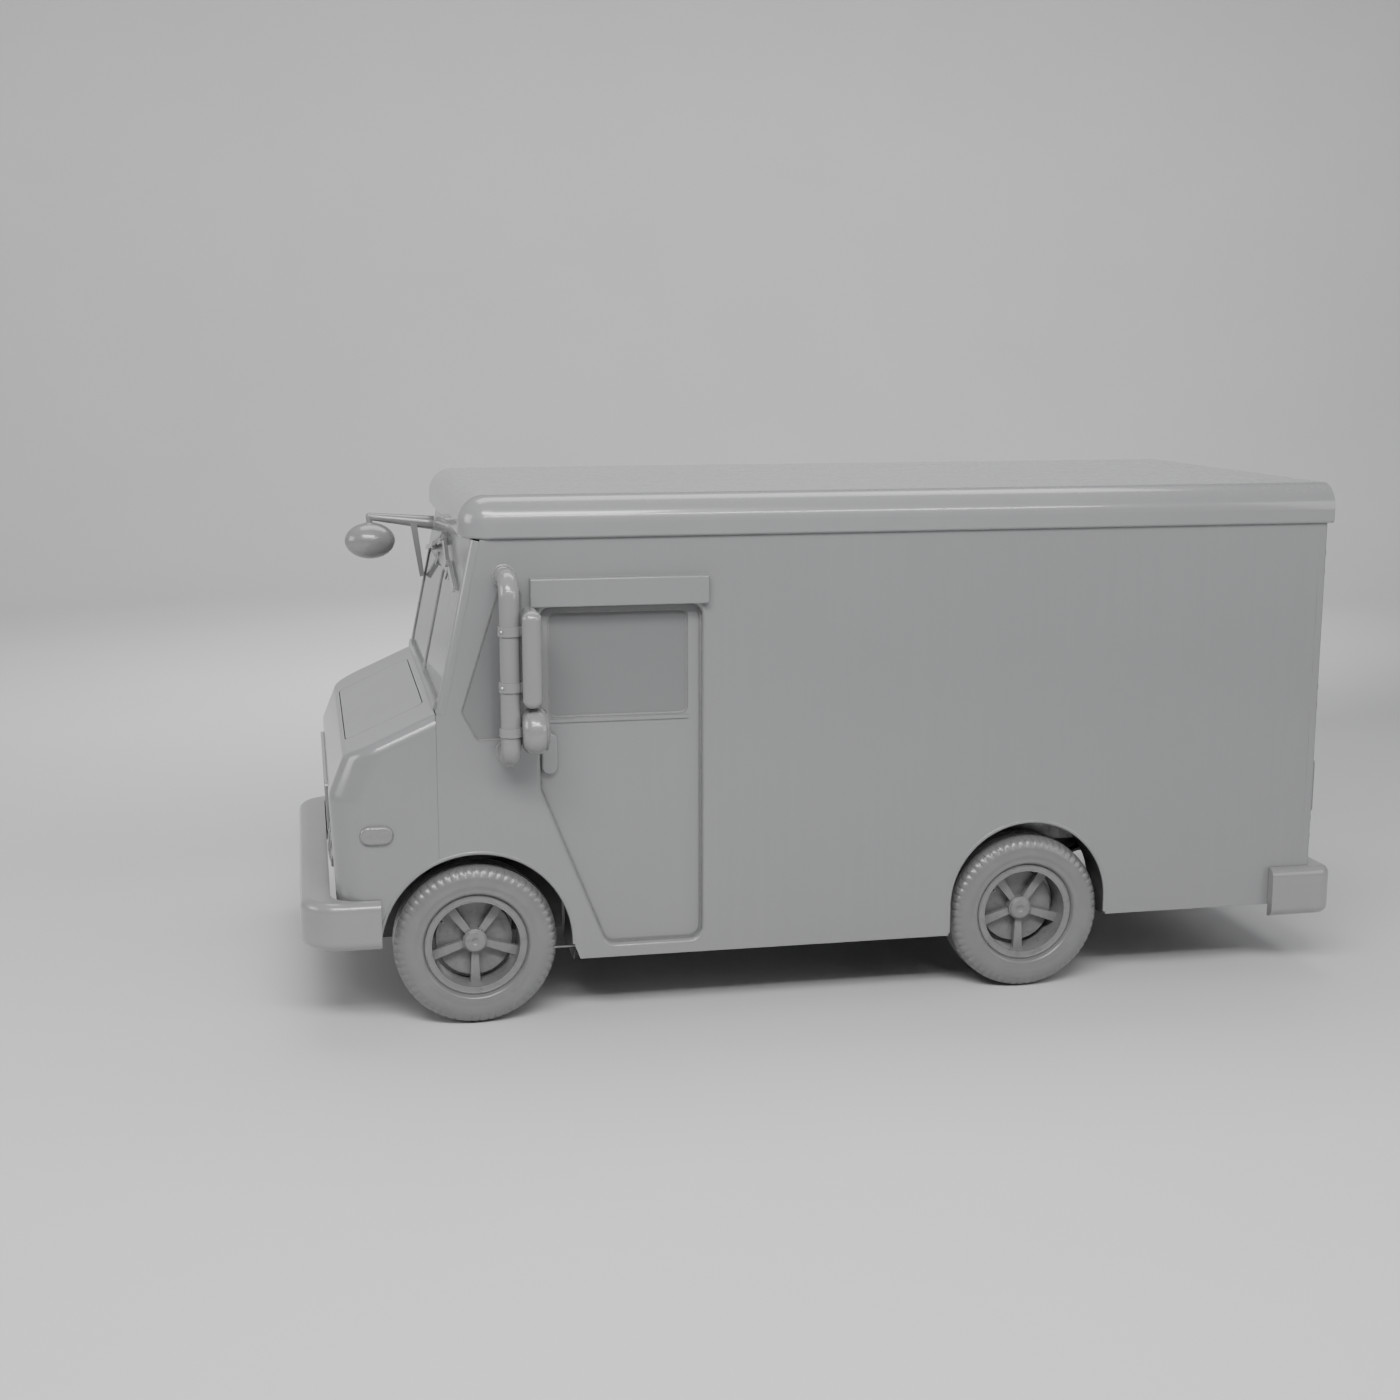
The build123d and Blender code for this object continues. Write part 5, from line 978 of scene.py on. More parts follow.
class TRUCK_OT_wheel_fittings(bpy.types.Operator):
    """Valve, hub cap, drum ribs and rim lip on each wheel"""

    bl_idname = "truck.wheel_fittings"
    bl_label = "Wheel fittings"

    def execute(self, context):
        for wheel in WHEELS:
            centre, out = wheel_centre(wheel), outward(wheel)
            low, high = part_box(wheel + "_rim")
            face = centre.copy()
            face.y = high.y if out.y > 0 else low.y
            self.valve(wheel, face, out)
            self.hub(wheel, face, out)
            self.lip(wheel, face, out, (high.z - low.z) / 2)
        return {"FINISHED"}

    def valve(self, wheel, face, out):
        turn = math.radians(54)
        spoke = Vector((math.sin(turn), 0, math.cos(turn)))
        foot = face + spoke * 0.196 - out * 0.05
        path = [foot, foot - spoke * 0.006 + out * 0.016, foot - spoke * 0.012 + out * 0.034]
        stem = Shape().tube(path, 4 * MM)
        tip = foot - spoke * 0.012 + out * 0.034
        stem.lathe(tip, out, [(0, 5 * MM), (0.001, 5.6 * MM), (0.011, 5.6 * MM), (0.013, 4 * MM)], 14)
        piece(stem, wheel + "_valve", wheel + "_wheel", "pedal_rubber")

    def hub(self, wheel, face, out):
        """The dimpled cap on the hub's end."""
        base = face - out * 0.055
        cap = Shape().lathe(base, out, [
            (-0.002, 0.0505), (0.0, 0.0505), (0.0035, 0.0490), (0.006, 0.0455), (0.0068, 0.040),
            (0.0072, 0.0200), (0.0066, 0.0165), (0.0040, 0.0135), (0.0022, 0.0100), (0.0016, 0.0),
        ], 56)
        piece(cap, wheel + "_hub_cap", wheel + "_wheel", "wheel_steel", sharp=50)
        drum_ribs = Shape()
        for rib in range(3):
            drum_ribs.lathe(face - out * (0.128 + 0.012 * rib), out, [
                (-0.0025, 0.172), (-0.0025, 0.1785), (0.0025, 0.1785), (0.0025, 0.172),
            ], 72, closed=True)
        piece(drum_ribs, wheel + "_drum_ribs", wheel + "_wheel", "chassis_iron")

    def lip(self, wheel, face, out, radius):
        """The rolled edge of the rim."""
        steps = 10
        bead = [
            (0.0015 - 0.0055 + 0.0055 * math.sin(t), radius - 0.0052 + 0.0052 * math.cos(t))
            for t in (FULL_TURN * i / steps for i in range(steps))
        ]
        shape = Shape().lathe(face, out, bead, 96, closed=True)
        well = [(-0.0005, 0.2085), (0.0006, 0.2085), (0.0006, 0.2065), (-0.012, 0.1995), (-0.012, 0.2015)]
        shape.lathe(face, out, well, 96, closed=True)
        piece(shape, wheel + "_rim_lip", wheel + "_wheel", "wheel_steel", sharp=60)


# ---------------------------------------------------------------- windows
PANES = (
    # node, the way it looks, the body it rides on
    ("left_door_glass", LEFT, "left_door"),
    ("right_door_glass", -LEFT, "right_door"),
    ("left_rear_window", -FORWARD, "left_rear_door"),
    ("right_rear_window", -FORWARD, "right_rear_door"),
)


def seal_section(width, proud, lap):
    """A rubber seal's section: a flat lip on the glass that swells into a bead on the frame."""
    return [
        (-width, 0.0002), (-width, 0.0016), (-width * 0.72, proud * 0.5), (-width * 0.42, proud * 0.86),
        (-width * 0.05, proud), (lap * 0.6, proud * 0.97), (lap, proud * 0.8), (lap, -0.001),
        (lap * 0.4, -0.004),
    ]


class TRUCK_OT_glazing(bpy.types.Operator):
    """Rubber seals round every pane"""

    bl_idname = "truck.glazing"
    bl_label = "Window seals"

    def execute(self, context):
        width, proud = sizes().seal_width, sizes().seal_proud
        for node, direction, body in PANES:
            loop = edge_loops(node, direction)[0]
            self.seal(node.replace("glass", "window") + "_seal", loop, direction, body, width, proud * 0.8)
            self.seal(node.replace("glass", "window") + "_inner_seal",
                      edge_loops(node, -direction)[0], -direction, body, width, 5 * MM)
        self.windscreen(width, proud)
        return {"FINISHED"}

    def windscreen(self, width, proud):
        """The fixed panes share one node, so each is found by where its middle is."""
        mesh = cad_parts["fixed_glass"].data
        screen = [p for p in mesh.polygons if p.normal.x > 0.9]
        lean = screen[0].normal.copy()
        panes = outlines(mesh, screen)[:2]
        for loop in panes:
            side = "left" if sum(p.y for p in loop) > 0 else "right"
            self.seal(side + "_windscreen_seal", loop, lean, "chassis", width, proud)
        for side, direction in (("left", LEFT), ("right", -LEFT)):
            loop = edge_loops("fixed_glass", direction)[0]
            self.seal(side + "_quarter_window_seal", loop, direction, "chassis", width, proud)

    def seal(self, name, loop, direction, body, width, proud):
        shape = Shape().strip(loop, direction, seal_section(width, proud, 0.6 * MM))
        piece(shape, name, body, "seal_rubber", slot="wiper_black", sharp=50)


# ---------------------------------------------------------------- body sides
SKIN_INSET = 40 * MM  # the rain box stands this far outside the side's skin
INNER_FACE_INSET = 70 * MM  # and this far outside the panel's inner face


class TRUCK_OT_body_sides(bpy.types.Operator):
    """Rolled arch lips, doorway seals, drip rail and the sliding doors' fittings"""

    bl_idname = "truck.body_sides"
    bl_label = "Body sides"

    ARCH_RADIUS = 440 * MM
    REAR_ARCH_HALF = 395 * MM
    REAR_ARCH_TOP = 0.828
    FRONT_LEG, REAR_LEG = (0.302, 0.38), (0.400, 0.362)  # heights of the rear arch's two straight ends
    ARCH_START, ARCH_SWEEP = 4.0, 177.4  # degrees, of the front arch
    LIP_PROUD = 2.2 * MM
    GUTTER_HEIGHT = 1.914
    DOOR_SKIN_INSET = 7 * MM
    HANDLE_PIVOT_DROP = 0.038

    def execute(self, context):
        self.arches()
        self.doorways()
        self.drip_rails()
        self.rocker_strips()
        self.door_fittings()
        return {"FINISHED"}

    def arches(self):
        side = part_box("left_side_panel")[1].y - SKIN_INSET
        radius = sizes().lip_radius
        front, rear = wheel_centre("front_left"), wheel_centre("rear_left")
        y = side - radius + self.LIP_PROUD
        centre, arch, half = Vector((front.x - 0.005, y, front.z)), self.ARCH_RADIUS, self.REAR_ARCH_HALF
        path = [
            centre + (FORWARD * math.cos(t) + UP * math.sin(t)) * arch
            for t in (math.radians(self.ARCH_START + self.ARCH_SWEEP * i / 72) for i in range(73))
        ]
        both(Shape().tube(path, radius, 12), "front_arch_lip", "body_paint", "chassis")
        top = self.REAR_ARCH_TOP - half
        path = [Vector((rear.x + half, y, z)) for z in self.FRONT_LEG]
        path += [
            Vector((rear.x + half * math.cos(t), y, top + half * math.sin(t)))
            for t in (math.pi * i / 60 for i in range(61))
        ]
        path += [Vector((rear.x - half, y, z)) for z in self.REAR_LEG]
        both(Shape().tube(path, radius, 12), "rear_arch_lip", "body_paint", "chassis")

    def doorway(self):
        """Outline of the doorway in the left side's skin."""
        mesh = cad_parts["left_side_panel"].data
        inner_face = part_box("left_side_panel")[1].y - INNER_FACE_INSET
        flat = [
            p for p in mesh.polygons
            if p.normal.y < -0.9995 and abs(p.center.y - inner_face) < 1.0 * MM
        ]
        loops = outlines(mesh, flat)
        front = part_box("left_door")[1].x
        return max(
            (loop for loop in loops if front - 0.4 < max(p.x for p in loop) < front),
            key=lambda loop: max(p.z for p in loop) - min(p.z for p in loop),
        )

    def doorways(self):
        loop = self.doorway()
        fin = [
            (-0.001, 0.0), (0.009, 0.0), (0.009, 0.0030), (0.005, 0.0042), (0.001, 0.0034), (-0.002, 0.002),
        ]
        both(Shape().strip(loop, -LEFT, fin), "doorway_seal", "seal_rubber", "chassis", slot="wiper_black")

    def drip_rails(self):
        """A folded gutter along the foot of the rain box."""
        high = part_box("left_side_panel")[1]
        door_low, door_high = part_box("left_door")
        x0, x1 = door_low.x + 0.019, door_high.x + 0.02
        y, z = high.y, self.GUTTER_HEIGHT
        section = [
            (x0, y - 0.038, z), (x0, y - 0.002, z), (x0, y - 0.002, z + 0.004), (x0, y - 0.038, z + 0.004),
        ]
        gutter = Shape().prism(section, FORWARD, x1 - x0)
        both(gutter, "rain_box_gutter", "body_paint", "chassis", bevel=0.8 * MM)

    def rocker_strips(self):
        """The thin flange under the sill, between the arches."""
        rear = wheel_centre("rear_left").x + self.REAR_ARCH_HALF + 0.012
        front = wheel_centre("front_left").x - 0.47
        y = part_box("left_side_panel")[1].y - SKIN_INSET
        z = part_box("left_side_panel")[0].z
        path = [Vector((rear, y - 0.016, z + 0.004)), Vector((front, y - 0.016, z + 0.004))]
        flange = [(-0.016, 0.0), (-0.017, -0.006), (0.010, -0.006), (0.012, -0.002), (0.010, 0.003)]
        shape = Shape().rings([
            [p + LEFT * u + UP * v for u, v in flange] for p in path
        ])
        both(shape, "rocker_flange", "body_paint", "chassis", bevel=0.8 * MM)

    def door_fittings(self):
        """Handle rose, foot seal and inner plate of each sliding door."""
        low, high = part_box("left_door")
        handle_low, handle_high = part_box("left_door_handle")
        skin = high.y - self.DOOR_SKIN_INSET
        pivot = Vector(((handle_low.x + handle_high.x) / 2, skin, handle_high.z - self.HANDLE_PIVOT_DROP))
        rose = Shape().lathe(pivot, LEFT, [
            (-0.001, 0.030), (0.0012, 0.030), (0.0024, 0.028), (0.0026, 0.012), (-0.001, 0.012),
        ], 36, closed=True)
        both(rose, "door_handle_rose", "bright_steel", ("left_door", "right_door"), sharp=50)
        z = low.z + 0.014
        brush = Shape().box((low.x + 0.03, skin - 0.001, z - 0.006), (low.x + 0.78, skin + 0.004, z + 0.002))
        both(brush, "door_sweep", "seal_rubber", ("left_door", "right_door"), slot="wiper_black",
             bevel=1 * MM)
        plate = rounded_rectangle(
            Vector((pivot.x - 0.004, low.y, pivot.z)), FORWARD, UP, 0.06, 0.13, 0.012)
        pull = Shape().prism(plate, -LEFT, 0.003, 0.001)
        both(pull, "door_inner_plate", "bright_steel", ("left_door", "right_door"))


# ---------------------------------------------------------------- mirrors
class TRUCK_OT_mirrors(bpy.types.Operator):
    """Mirror glass, bezels and the clamps on the mirror arms"""

    bl_idname = "truck.mirrors"
    bl_label = "Mirrors"

    ARM_INSET = 0.051  # the arm's axis, behind the front of the tall mirror's head
    ARM_ENDS = (("upper", 2.052), ("lower", 1.270))
    CLAMP_INSET, CLAMP_HALF = 0.09, 0.036

    def execute(self, context):
        self.tall_mirror()
        self.round_mirror()
        self.crossview()
        self.arm_fittings()
        return {"FINISHED"}

    def tall_mirror(self):
        low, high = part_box("left_mirror_head")
        face = low.x
        centre = Vector((face, (low.y + high.y) / 2, (low.z + high.z) / 2))
        glass = rounded_rectangle(centre, LEFT, UP, 0.112, 0.345, 0.022)
        both(Shape().prism(glass, -FORWARD, 0.0016, 0.0008), "mirror_glass", "mirror_glass",
             ("left_mirror_head", "right_mirror_head"), slot="bright_steel")
        bead = [(-0.004, -0.0012), (-0.004, 0.002), (-0.0015, 0.0032), (0.0022, 0.0026), (0.0042, -0.0012)]
        rim = rounded_rectangle(centre, -LEFT, UP, 0.114, 0.347, 0.023)
        both(Shape().strip(rim, -FORWARD, bead), "mirror_bezel", "seal_rubber",
             ("left_mirror_head", "right_mirror_head"), slot="wiper_black", sharp=60)
        clamps = Shape()
        arm_x = high.x - self.ARM_INSET
        for z in (low.z + self.CLAMP_INSET, high.z - self.CLAMP_INSET):
            for y in (-self.CLAMP_HALF, self.CLAMP_HALF):
                clamps.bolt((arm_x + self.CLAMP_HALF, centre.y + y, z), FORWARD, 11 * MM, 6 * MM)
        both(clamps, "mirror_clamp_bolts", "bright_steel", ("left_mirror_head", "right_mirror_head"))

    def round_mirror(self):
        low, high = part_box("left_round_mirror")
        radius = (high.z - low.z) / 2
        middle = Vector((low.x, (low.y + high.y) / 2, (low.z + high.z) / 2))
        edge, rise, steps = radius * 0.82, 12.5 * MM, 12
        ball = (edge ** 2 + rise ** 2) / (2 * rise)
        profile = [(-rise - 0.004, edge)]
        for i in range(steps + 1):
            t = math.asin(edge / ball) * (1 - i / steps)
            profile.append((ball * math.cos(t) - ball + 0.0008, ball * math.sin(t)))
        both(Shape().lathe(middle, -FORWARD, profile, 56), "round_mirror_glass", "mirror_glass",
             ("left_round_mirror", "right_round_mirror"), slot="bright_steel", sharp=60)
        ring = [(-rise - 0.002, edge - 0.002), (-rise + 0.003, edge - 0.0015), (-rise + 0.0035, edge + 0.002),
                (-rise, edge + 0.0045), (-rise - 0.005, edge + 0.006)]
        both(Shape().lathe(middle, -FORWARD, ring, 56, closed=True), "round_mirror_bezel", "seal_rubber",
             ("left_round_mirror", "right_round_mirror"), slot="wiper_black", sharp=60)

    def crossview(self):
        """The socket that joins the convex mirror to the end of its arm."""
        low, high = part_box("crossview_mirror")
        top = Vector(((low.x + high.x) / 2, (low.y + high.y) / 2, high.z))
        socket = Shape().lathe(top - UP * 0.002, UP, [
            (-0.006, 0.034), (-0.001, 0.030), (0.003, 0.020), (0.0045, 0.0155), (0.008, 0.0155),
            (0.008, 0.0001),
        ], 48)
        piece(socket, "crossview_socket", "crossview_mirror", "mirror_housing", sharp=70)

    def arm_fittings(self):
        """Sealing rings where each tube meets the body."""
        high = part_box("left_mirror_head")[1]
        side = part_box("left_side_panel")[1].y - SKIN_INSET
        x = high.x - self.ARM_INSET
        for place, z in self.ARM_ENDS:
            ring = Shape().lathe(Vector((x, side, z)), LEFT, [
                (-0.001, 0.052), (0.003, 0.053), (0.0055, 0.0525), (0.007, 0.050), (0.0075, 0.0445),
                (-0.001, 0.0445),
            ], 56, closed=True)
            both(ring, f"{place}_arm_ring", "mirror_housing", "chassis", sharp=60)


# ---------------------------------------------------------------- lamps and grille
class TRUCK_OT_lamps(bpy.types.Operator):
    """Headlamps with bowl, bulb, fluted glass and bezel, and the seals behind the other lamps"""

    bl_idname = "truck.lamps"
    bl_label = "Lamps"

    LAMP_DEPTH = 58 * MM

    def execute(self, context):
        low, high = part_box("headlamps")
        radius = (high.z - low.z) / 2
        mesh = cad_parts["headlamps"].data
        left = [v.co for v in mesh.vertices if v.co.y > 0]
        tail, nose = min(p.x for p in left), max(p.x for p in left)
        centre = Vector(((tail + nose) / 2, high.y - radius, (low.z + high.z) / 2))
        self.headlamp(centre, nose, radius)
        self.marker_seals()
        return {"FINISHED"}

    def headlamp(self, centre, nose, radius):
        axis = FORWARD
        base = Vector((nose - self.LAMP_DEPTH, centre.y, centre.z))
        bowl = [(0.030 * (r / 0.82) ** 2, radius * r) for r in (0.1, 0.2, 0.35, 0.5, 0.65, 0.82)]
        bowl += [(z, radius * r) for z, r in ((0.034, 0.84), (0.030, 0.88), (-0.012, 0.5), (-0.014, 0.1))]
        lamps = []
        lamps += both(Shape().lathe(base, axis, bowl, 48, closed=True), "headlamp_bowl", "mirror_glass",
                      "chassis", slot="bright_steel")
        steps = 10
        glass = [(0.034, radius * 0.80)]
        for i in range(steps + 1):
            t = math.radians(90) * i / steps
            glass.append((0.036 + 0.020 * math.sin(t), radius * 0.84 * math.cos(t)))
        lamps += both(Shape().lathe(base, axis, glass, 48), "headlamp_glass", "lamp_glass", "chassis")
        flutes = Shape()
        for i in range(-6, 7):
            y = i * radius * 0.12
            reach = math.sqrt(max(0.0, (radius * 0.78) ** 2 - y * y))
            path = []
            for k in range(9):
                z = -reach + 2 * reach * k / 8
                fall = math.sqrt(max(0.0, 1 - (y * y + z * z) / (radius * 0.84) ** 2))
                path.append(base + axis * (0.0348 + 0.020 * fall) + LEFT * y + UP * z)
            flutes.tube(path, 1.6 * MM, 6)
        both(flutes, "headlamp_flutes", "lamp_glass", "chassis")
        bezel = [
            (0.012, radius * 0.995), (0.036, radius * 0.99), (0.043, radius * 0.955), (0.044, radius * 0.90),
            (0.039, radius * 0.845), (0.034, radius * 0.83), (0.024, radius * 0.86),
        ]
        ring = Shape().lathe(base, axis, bezel, 64, closed=True)
        for i in range(3):
            t = FULL_TURN * (i / 3 + 0.25)
            at = base + axis * 0.0425 + (LEFT * math.cos(t) + UP * math.sin(t)) * radius * 0.925
            ring.rivet(at, axis, 4 * MM)
        lamps += both(ring, "headlamp_bezel", "bright_steel", "chassis", sharp=50)
        bulb = Shape().lathe(base, axis, [
            (0.002, 0.012), (0.010, 0.012), (0.012, 0.008), (0.026, 0.008), (0.031, 0.005), (0.033, 0.0),
        ], 20)
        both(bulb, "headlamp_bulb", "lamp_glass", "chassis")
        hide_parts("headlamps")

    def marker_seals(self):
        """Thin rubber bases that the marker and tail lamps sit on."""
        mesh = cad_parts["signal_lamps"].data
        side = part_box("left_side_panel")[1].y - SKIN_INSET
        marker = [v.co for v in mesh.vertices if v.co.y > side - 0.02 and v.co.x > 1.0]
        low = Vector((min(p.x for p in marker), side, min(p.z for p in marker)))
        high = Vector((max(p.x for p in marker), side, max(p.z for p in marker)))
        tall = high.z - low.z
        base = rounded_rectangle((low + high) / 2, FORWARD, UP, high.x - low.x + 4 * MM, tall + 4 * MM,
                                 tall / 2 + 1.99 * MM, 14)
        both(Shape().prism(base, LEFT, 2.6 * MM, 0.8 * MM), "marker_lamp_base", "seal_rubber", "chassis",
             slot="wiper_black")
        tail = [v.co for v in mesh.vertices if v.co.x < 0 and v.co.y > 0]
        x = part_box("left_rear_door")[0].x + 27 * MM
        y0, y1 = min(p.y for p in tail), max(p.y for p in tail)
        z0, z1 = min(p.z for p in tail), max(p.z for p in tail)
        base = rounded_rectangle(Vector((x, (y0 + y1) / 2, (z0 + z1) / 2)), LEFT, UP, y1 - y0 + 5 * MM,
                                 z1 - z0 + 6 * MM, 12 * MM)
        both(Shape().prism(base, -FORWARD, 3.5 * MM, 0.8 * MM), "tail_lamp_base", "seal_rubber", "chassis",
             slot="wiper_black")


class TRUCK_OT_grille(bpy.types.Operator):
    """Woven mesh behind the grille's bars"""

    bl_idname = "truck.grille"
    bl_label = "Grille mesh"

    def execute(self, context):
        low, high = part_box("grille")
        x = low.x + 1 * MM
        pitch, wire = sizes().mesh_pitch, 1.1 * MM
        y0, y1, z0, z1 = low.y + 0.03, high.y - 0.03, low.z + 0.025, high.z - 0.025
        lean = 0.02
        mesh = Shape()
        for i in range(int((y1 - y0) / pitch) + 1):
            y = y0 + i * pitch
            mesh.tube([(x, y, z0), (x + lean, y, z1)], wire, 5)
        for k in range(int((z1 - z0) / pitch) + 1):
            z = z0 + k * pitch
            at = x + lean * (z - z0) / (z1 - z0) + 1.6 * MM
            mesh.tube([(at, y0, z), (at, y1, z)], wire, 5)
        piece(mesh, "grille_mesh", "chassis", "wiper_black")
        return {"FINISHED"}


# ---------------------------------------------------------------- driver's seat
def settle(made):
    """Keeps what the piece's modifiers make as its own mesh."""
    graph = bpy.context.evaluated_depsgraph_get()
    mesh = bpy.data.meshes.new_from_object(made.evaluated_get(graph))
    made.modifiers.clear()
    made.data = mesh


def swelled(made, rise):
    """Blows a closed piece up as stuffed vinyl; no point moves further than the rise."""
    fine = made.modifiers.new("fine", "REMESH")
    fine.mode = "VOXEL"
    fine.voxel_size = 6 * MM
    fine.use_smooth_shade = True
    settle(made)
    start = [point.co.copy() for point in made.data.vertices]
    cloth = made.modifiers.new("cloth", "CLOTH")
    cloth.settings.use_pressure = True
    cloth.settings.uniform_pressure_force = 4.0
    cloth.settings.effector_weights.gravity = 0.0
    for number in range(1, 21):
        bpy.context.scene.frame_set(number)
    settle(made)
    bpy.context.scene.frame_set(1)
    for point, old in zip(made.data.vertices, start):
        step = point.co - old
        if step.length > rise:
            point.co = old + step * (rise / step.length)


class TRUCK_OT_seat(bpy.types.Operator):
    """Stuffed vinyl seat and back cushions with sewn channels and welted edges"""

    bl_idname = "truck.seat"
    bl_label = "Driver's seat"

    BACK_LEAN = math.atan(60 / 620)
    CHANNELS = (-0.3, -0.1, 0.1, 0.3)
    CHANNEL_DEPTH = 5.5 * MM
    CHANNEL_WIDTH = 6.0 * MM

    def execute(self, context):
        low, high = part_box("seat_cushions")
        middle = (low.y + high.y) / 2
        lean = self.BACK_LEAN
        flat = Matrix.Translation((high.x - 0.2, middle, low.z))
        up = Vector((-math.sin(lean), 0, math.cos(lean)))
        out = Vector((math.cos(lean), 0, math.sin(lean)))
        foot = Vector((low.x + 0.0465, middle, low.z + 0.112)) + up * 0.258
        upright = Matrix((
            (up.x, 0, out.x, foot.x), (0, -1, 0, foot.y), (up.z, 0, out.z, foot.z), (0, 0, 0, 1),
        ))
        base = self.cushion("seat_cushion", flat, 0.396, 0.474, 0.104)
        back = self.cushion("seat_back_cushion", upright, 0.514, 0.446, 0.088)
        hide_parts("seat_cushions")
        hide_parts("seat_cushions")
        return {"FINISHED"}

    def cushion(self, name, place, long, wide, thick):
        """A cushion made lying flat about the origin, then put in place."""
        cap = sizes().cushion_cap
        outline = rounded_rectangle(Vector((0, 0, 0)), FORWARD, LEFT, long - 0.022, wide - 0.022, 0.05, 8)
        made = piece(Shape().prism(outline, UP, thick - 0.022, 0.022), name, "seat", "seat_vinyl")
        swelled(made, cap)
        for point in made.data.vertices:
            spot = point.co
            spot.x = max(-long / 2, min(long / 2, spot.x))
            spot.y = max(-wide / 2, min(wide / 2, spot.y))
            spot.z = max(0.0004, min(thick, spot.z))
        smooth = made.modifiers.new("smooth", "SUBSURF")
        smooth.levels = smooth.render_levels = 1
        settle(made)
        self.sew(made.data, long, wide, thick)
        tree = BVHTree.FromPolygons(
            [point.co for point in made.data.vertices], [face.vertices for face in made.data.polygons])
        welts = Shape()
        top = max(point.co.z for point in made.data.vertices)
        for share in (0.26, 0.74):
            welts.join(self.welt(tree, long, wide, top * share))
        made.data.transform(place)
        trim = piece(welts.moved(place), name + "_welts", "seat", "seat_vinyl", sharp=80)
        return made

    def sew(self, mesh, long, wide, thick):
        """Presses the sewn channels into the top, inside a border that stays plain."""
        inside_x, inside_y = long / 2 - 0.055, wide / 2 - 0.06
        for point in mesh.vertices:
            spot = point.co
            if spot.z < thick * 0.55:
                continue
            fade_x = max(0.0, min(1.0, (inside_x - abs(spot.x)) / 0.012))
            depth = 0.0
            for share in self.CHANNELS:
                away = (spot.y - share * inside_y * 2.2) / self.CHANNEL_WIDTH
                depth = max(depth, math.exp(-away * away) * fade_x)
            past_x, past_y = abs(spot.x) - inside_x, abs(spot.y) - inside_y
            for away, other in ((past_x, past_y), (past_y, past_x)):
                if other < self.CHANNEL_WIDTH:
                    depth = max(depth, math.exp(-(away / self.CHANNEL_WIDTH) ** 2))
            spot.z -= self.CHANNEL_DEPTH * depth
        mesh.update()

    def welt(self, tree, long, wide, height):
        """Piping that follows the cushion's side at one height."""
        path = []
        for i in range(96):
            turn = FULL_TURN * i / 96
            direction = Vector((math.cos(turn) * long, math.sin(turn) * wide, 0)).normalized()
            hit = tree.ray_cast(direction * 0.6 + UP * height, -direction)[0]
            if hit is None:
                raise RuntimeError("the welt misses its cushion")
            path.append(hit)
        return Shape().tube(path, 2.6 * MM, 8, closed=True)


# ---------------------------------------------------------------- wheel-arch liners
class TRUCK_OT_arch_liners(bpy.types.Operator):
    """Dark splash liners that close the wheel arches behind their lips"""

    bl_idname = "truck.arch_liners"
    bl_label = "Wheel-arch liners"

    THICK = 3 * MM

    def execute(self, context):
        front, rear = wheel_centre("front_left"), wheel_centre("rear_left")
        self.liner("front_arch_liner", front - FORWARD * 0.005, 0.446, 34, 192, 0.655, 0.0)
        self.liner("rear_arch_liner", rear + UP * 0.061, 0.4025, 0, 180, 0.80, 0.10)
        self.splash_plates(front)
        return {"FINISHED"}

    def splash_plates(self, wheel):
        """Plates between the wheel and the chassis, ahead of it and behind it."""
        low, high = 0.30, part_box("body_floor")[0].z - 2 * MM
        shape = Shape()
        for back, ahead in ((-0.448, -0.205), (0.205, 0.438)):
            shape.box((wheel.x + back, 0.570, low), (wheel.x + ahead, 0.573, high))
            for i in range(4):
                spot = Vector((wheel.x + back + 0.03 + (ahead - back - 0.06) * i / 3, 0.573, high - 0.025))
                shape.bolt(spot, LEFT, 10 * MM, 5 * MM)
        both(shape, "splash_plates", "chassis_steel", "chassis")

    def liner(self, name, centre, radius, first, last, inner, drop):
        """A bent sheet round the wheel, from an inner width out to the skin."""
        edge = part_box("left_side_panel")[1].y - 72 * MM
        steps = 56
        turns = [math.radians(first + (last - first) * i / steps) for i in range(steps + 1)]
        rows = []
        for reach, width in ((radius, inner), (radius, edge), (radius + self.THICK, edge),
                             (radius + self.THICK, inner)):
            row = [Vector((centre.x + reach * math.cos(t), width, centre.z + reach * math.sin(t)))
                   for t in turns]
            if drop:
                row = [row[0] - UP * drop] + row + [row[-1] - UP * drop]
            rows.append(row)
        count = len(rows[0])
        shape = Shape()
        shape.points = [point for row in rows for point in row]
        for r in range(4):
            for n in range(count - 1):
                a, b = r * count + n, (r + 1) % 4 * count + n
                shape.faces.append([a, a + 1, b + 1, b])
        shape.faces.append([r * count for r in range(4)])
        shape.faces.append([r * count + count - 1 for r in range(4)])
        for k in range(1, 5):
            t = turns[min(count * k // 5, steps)]
            for width in (edge - 0.03, (inner + edge) / 2):
                spot = Vector((centre.x + radius * math.cos(t), width, centre.z + radius * math.sin(t)))
                axis = Vector((-math.cos(t), 0, -math.sin(t)))
                shape.rivet(spot, axis, 7 * MM)
        both(shape, name, "chassis_steel", "chassis", sharp=40)


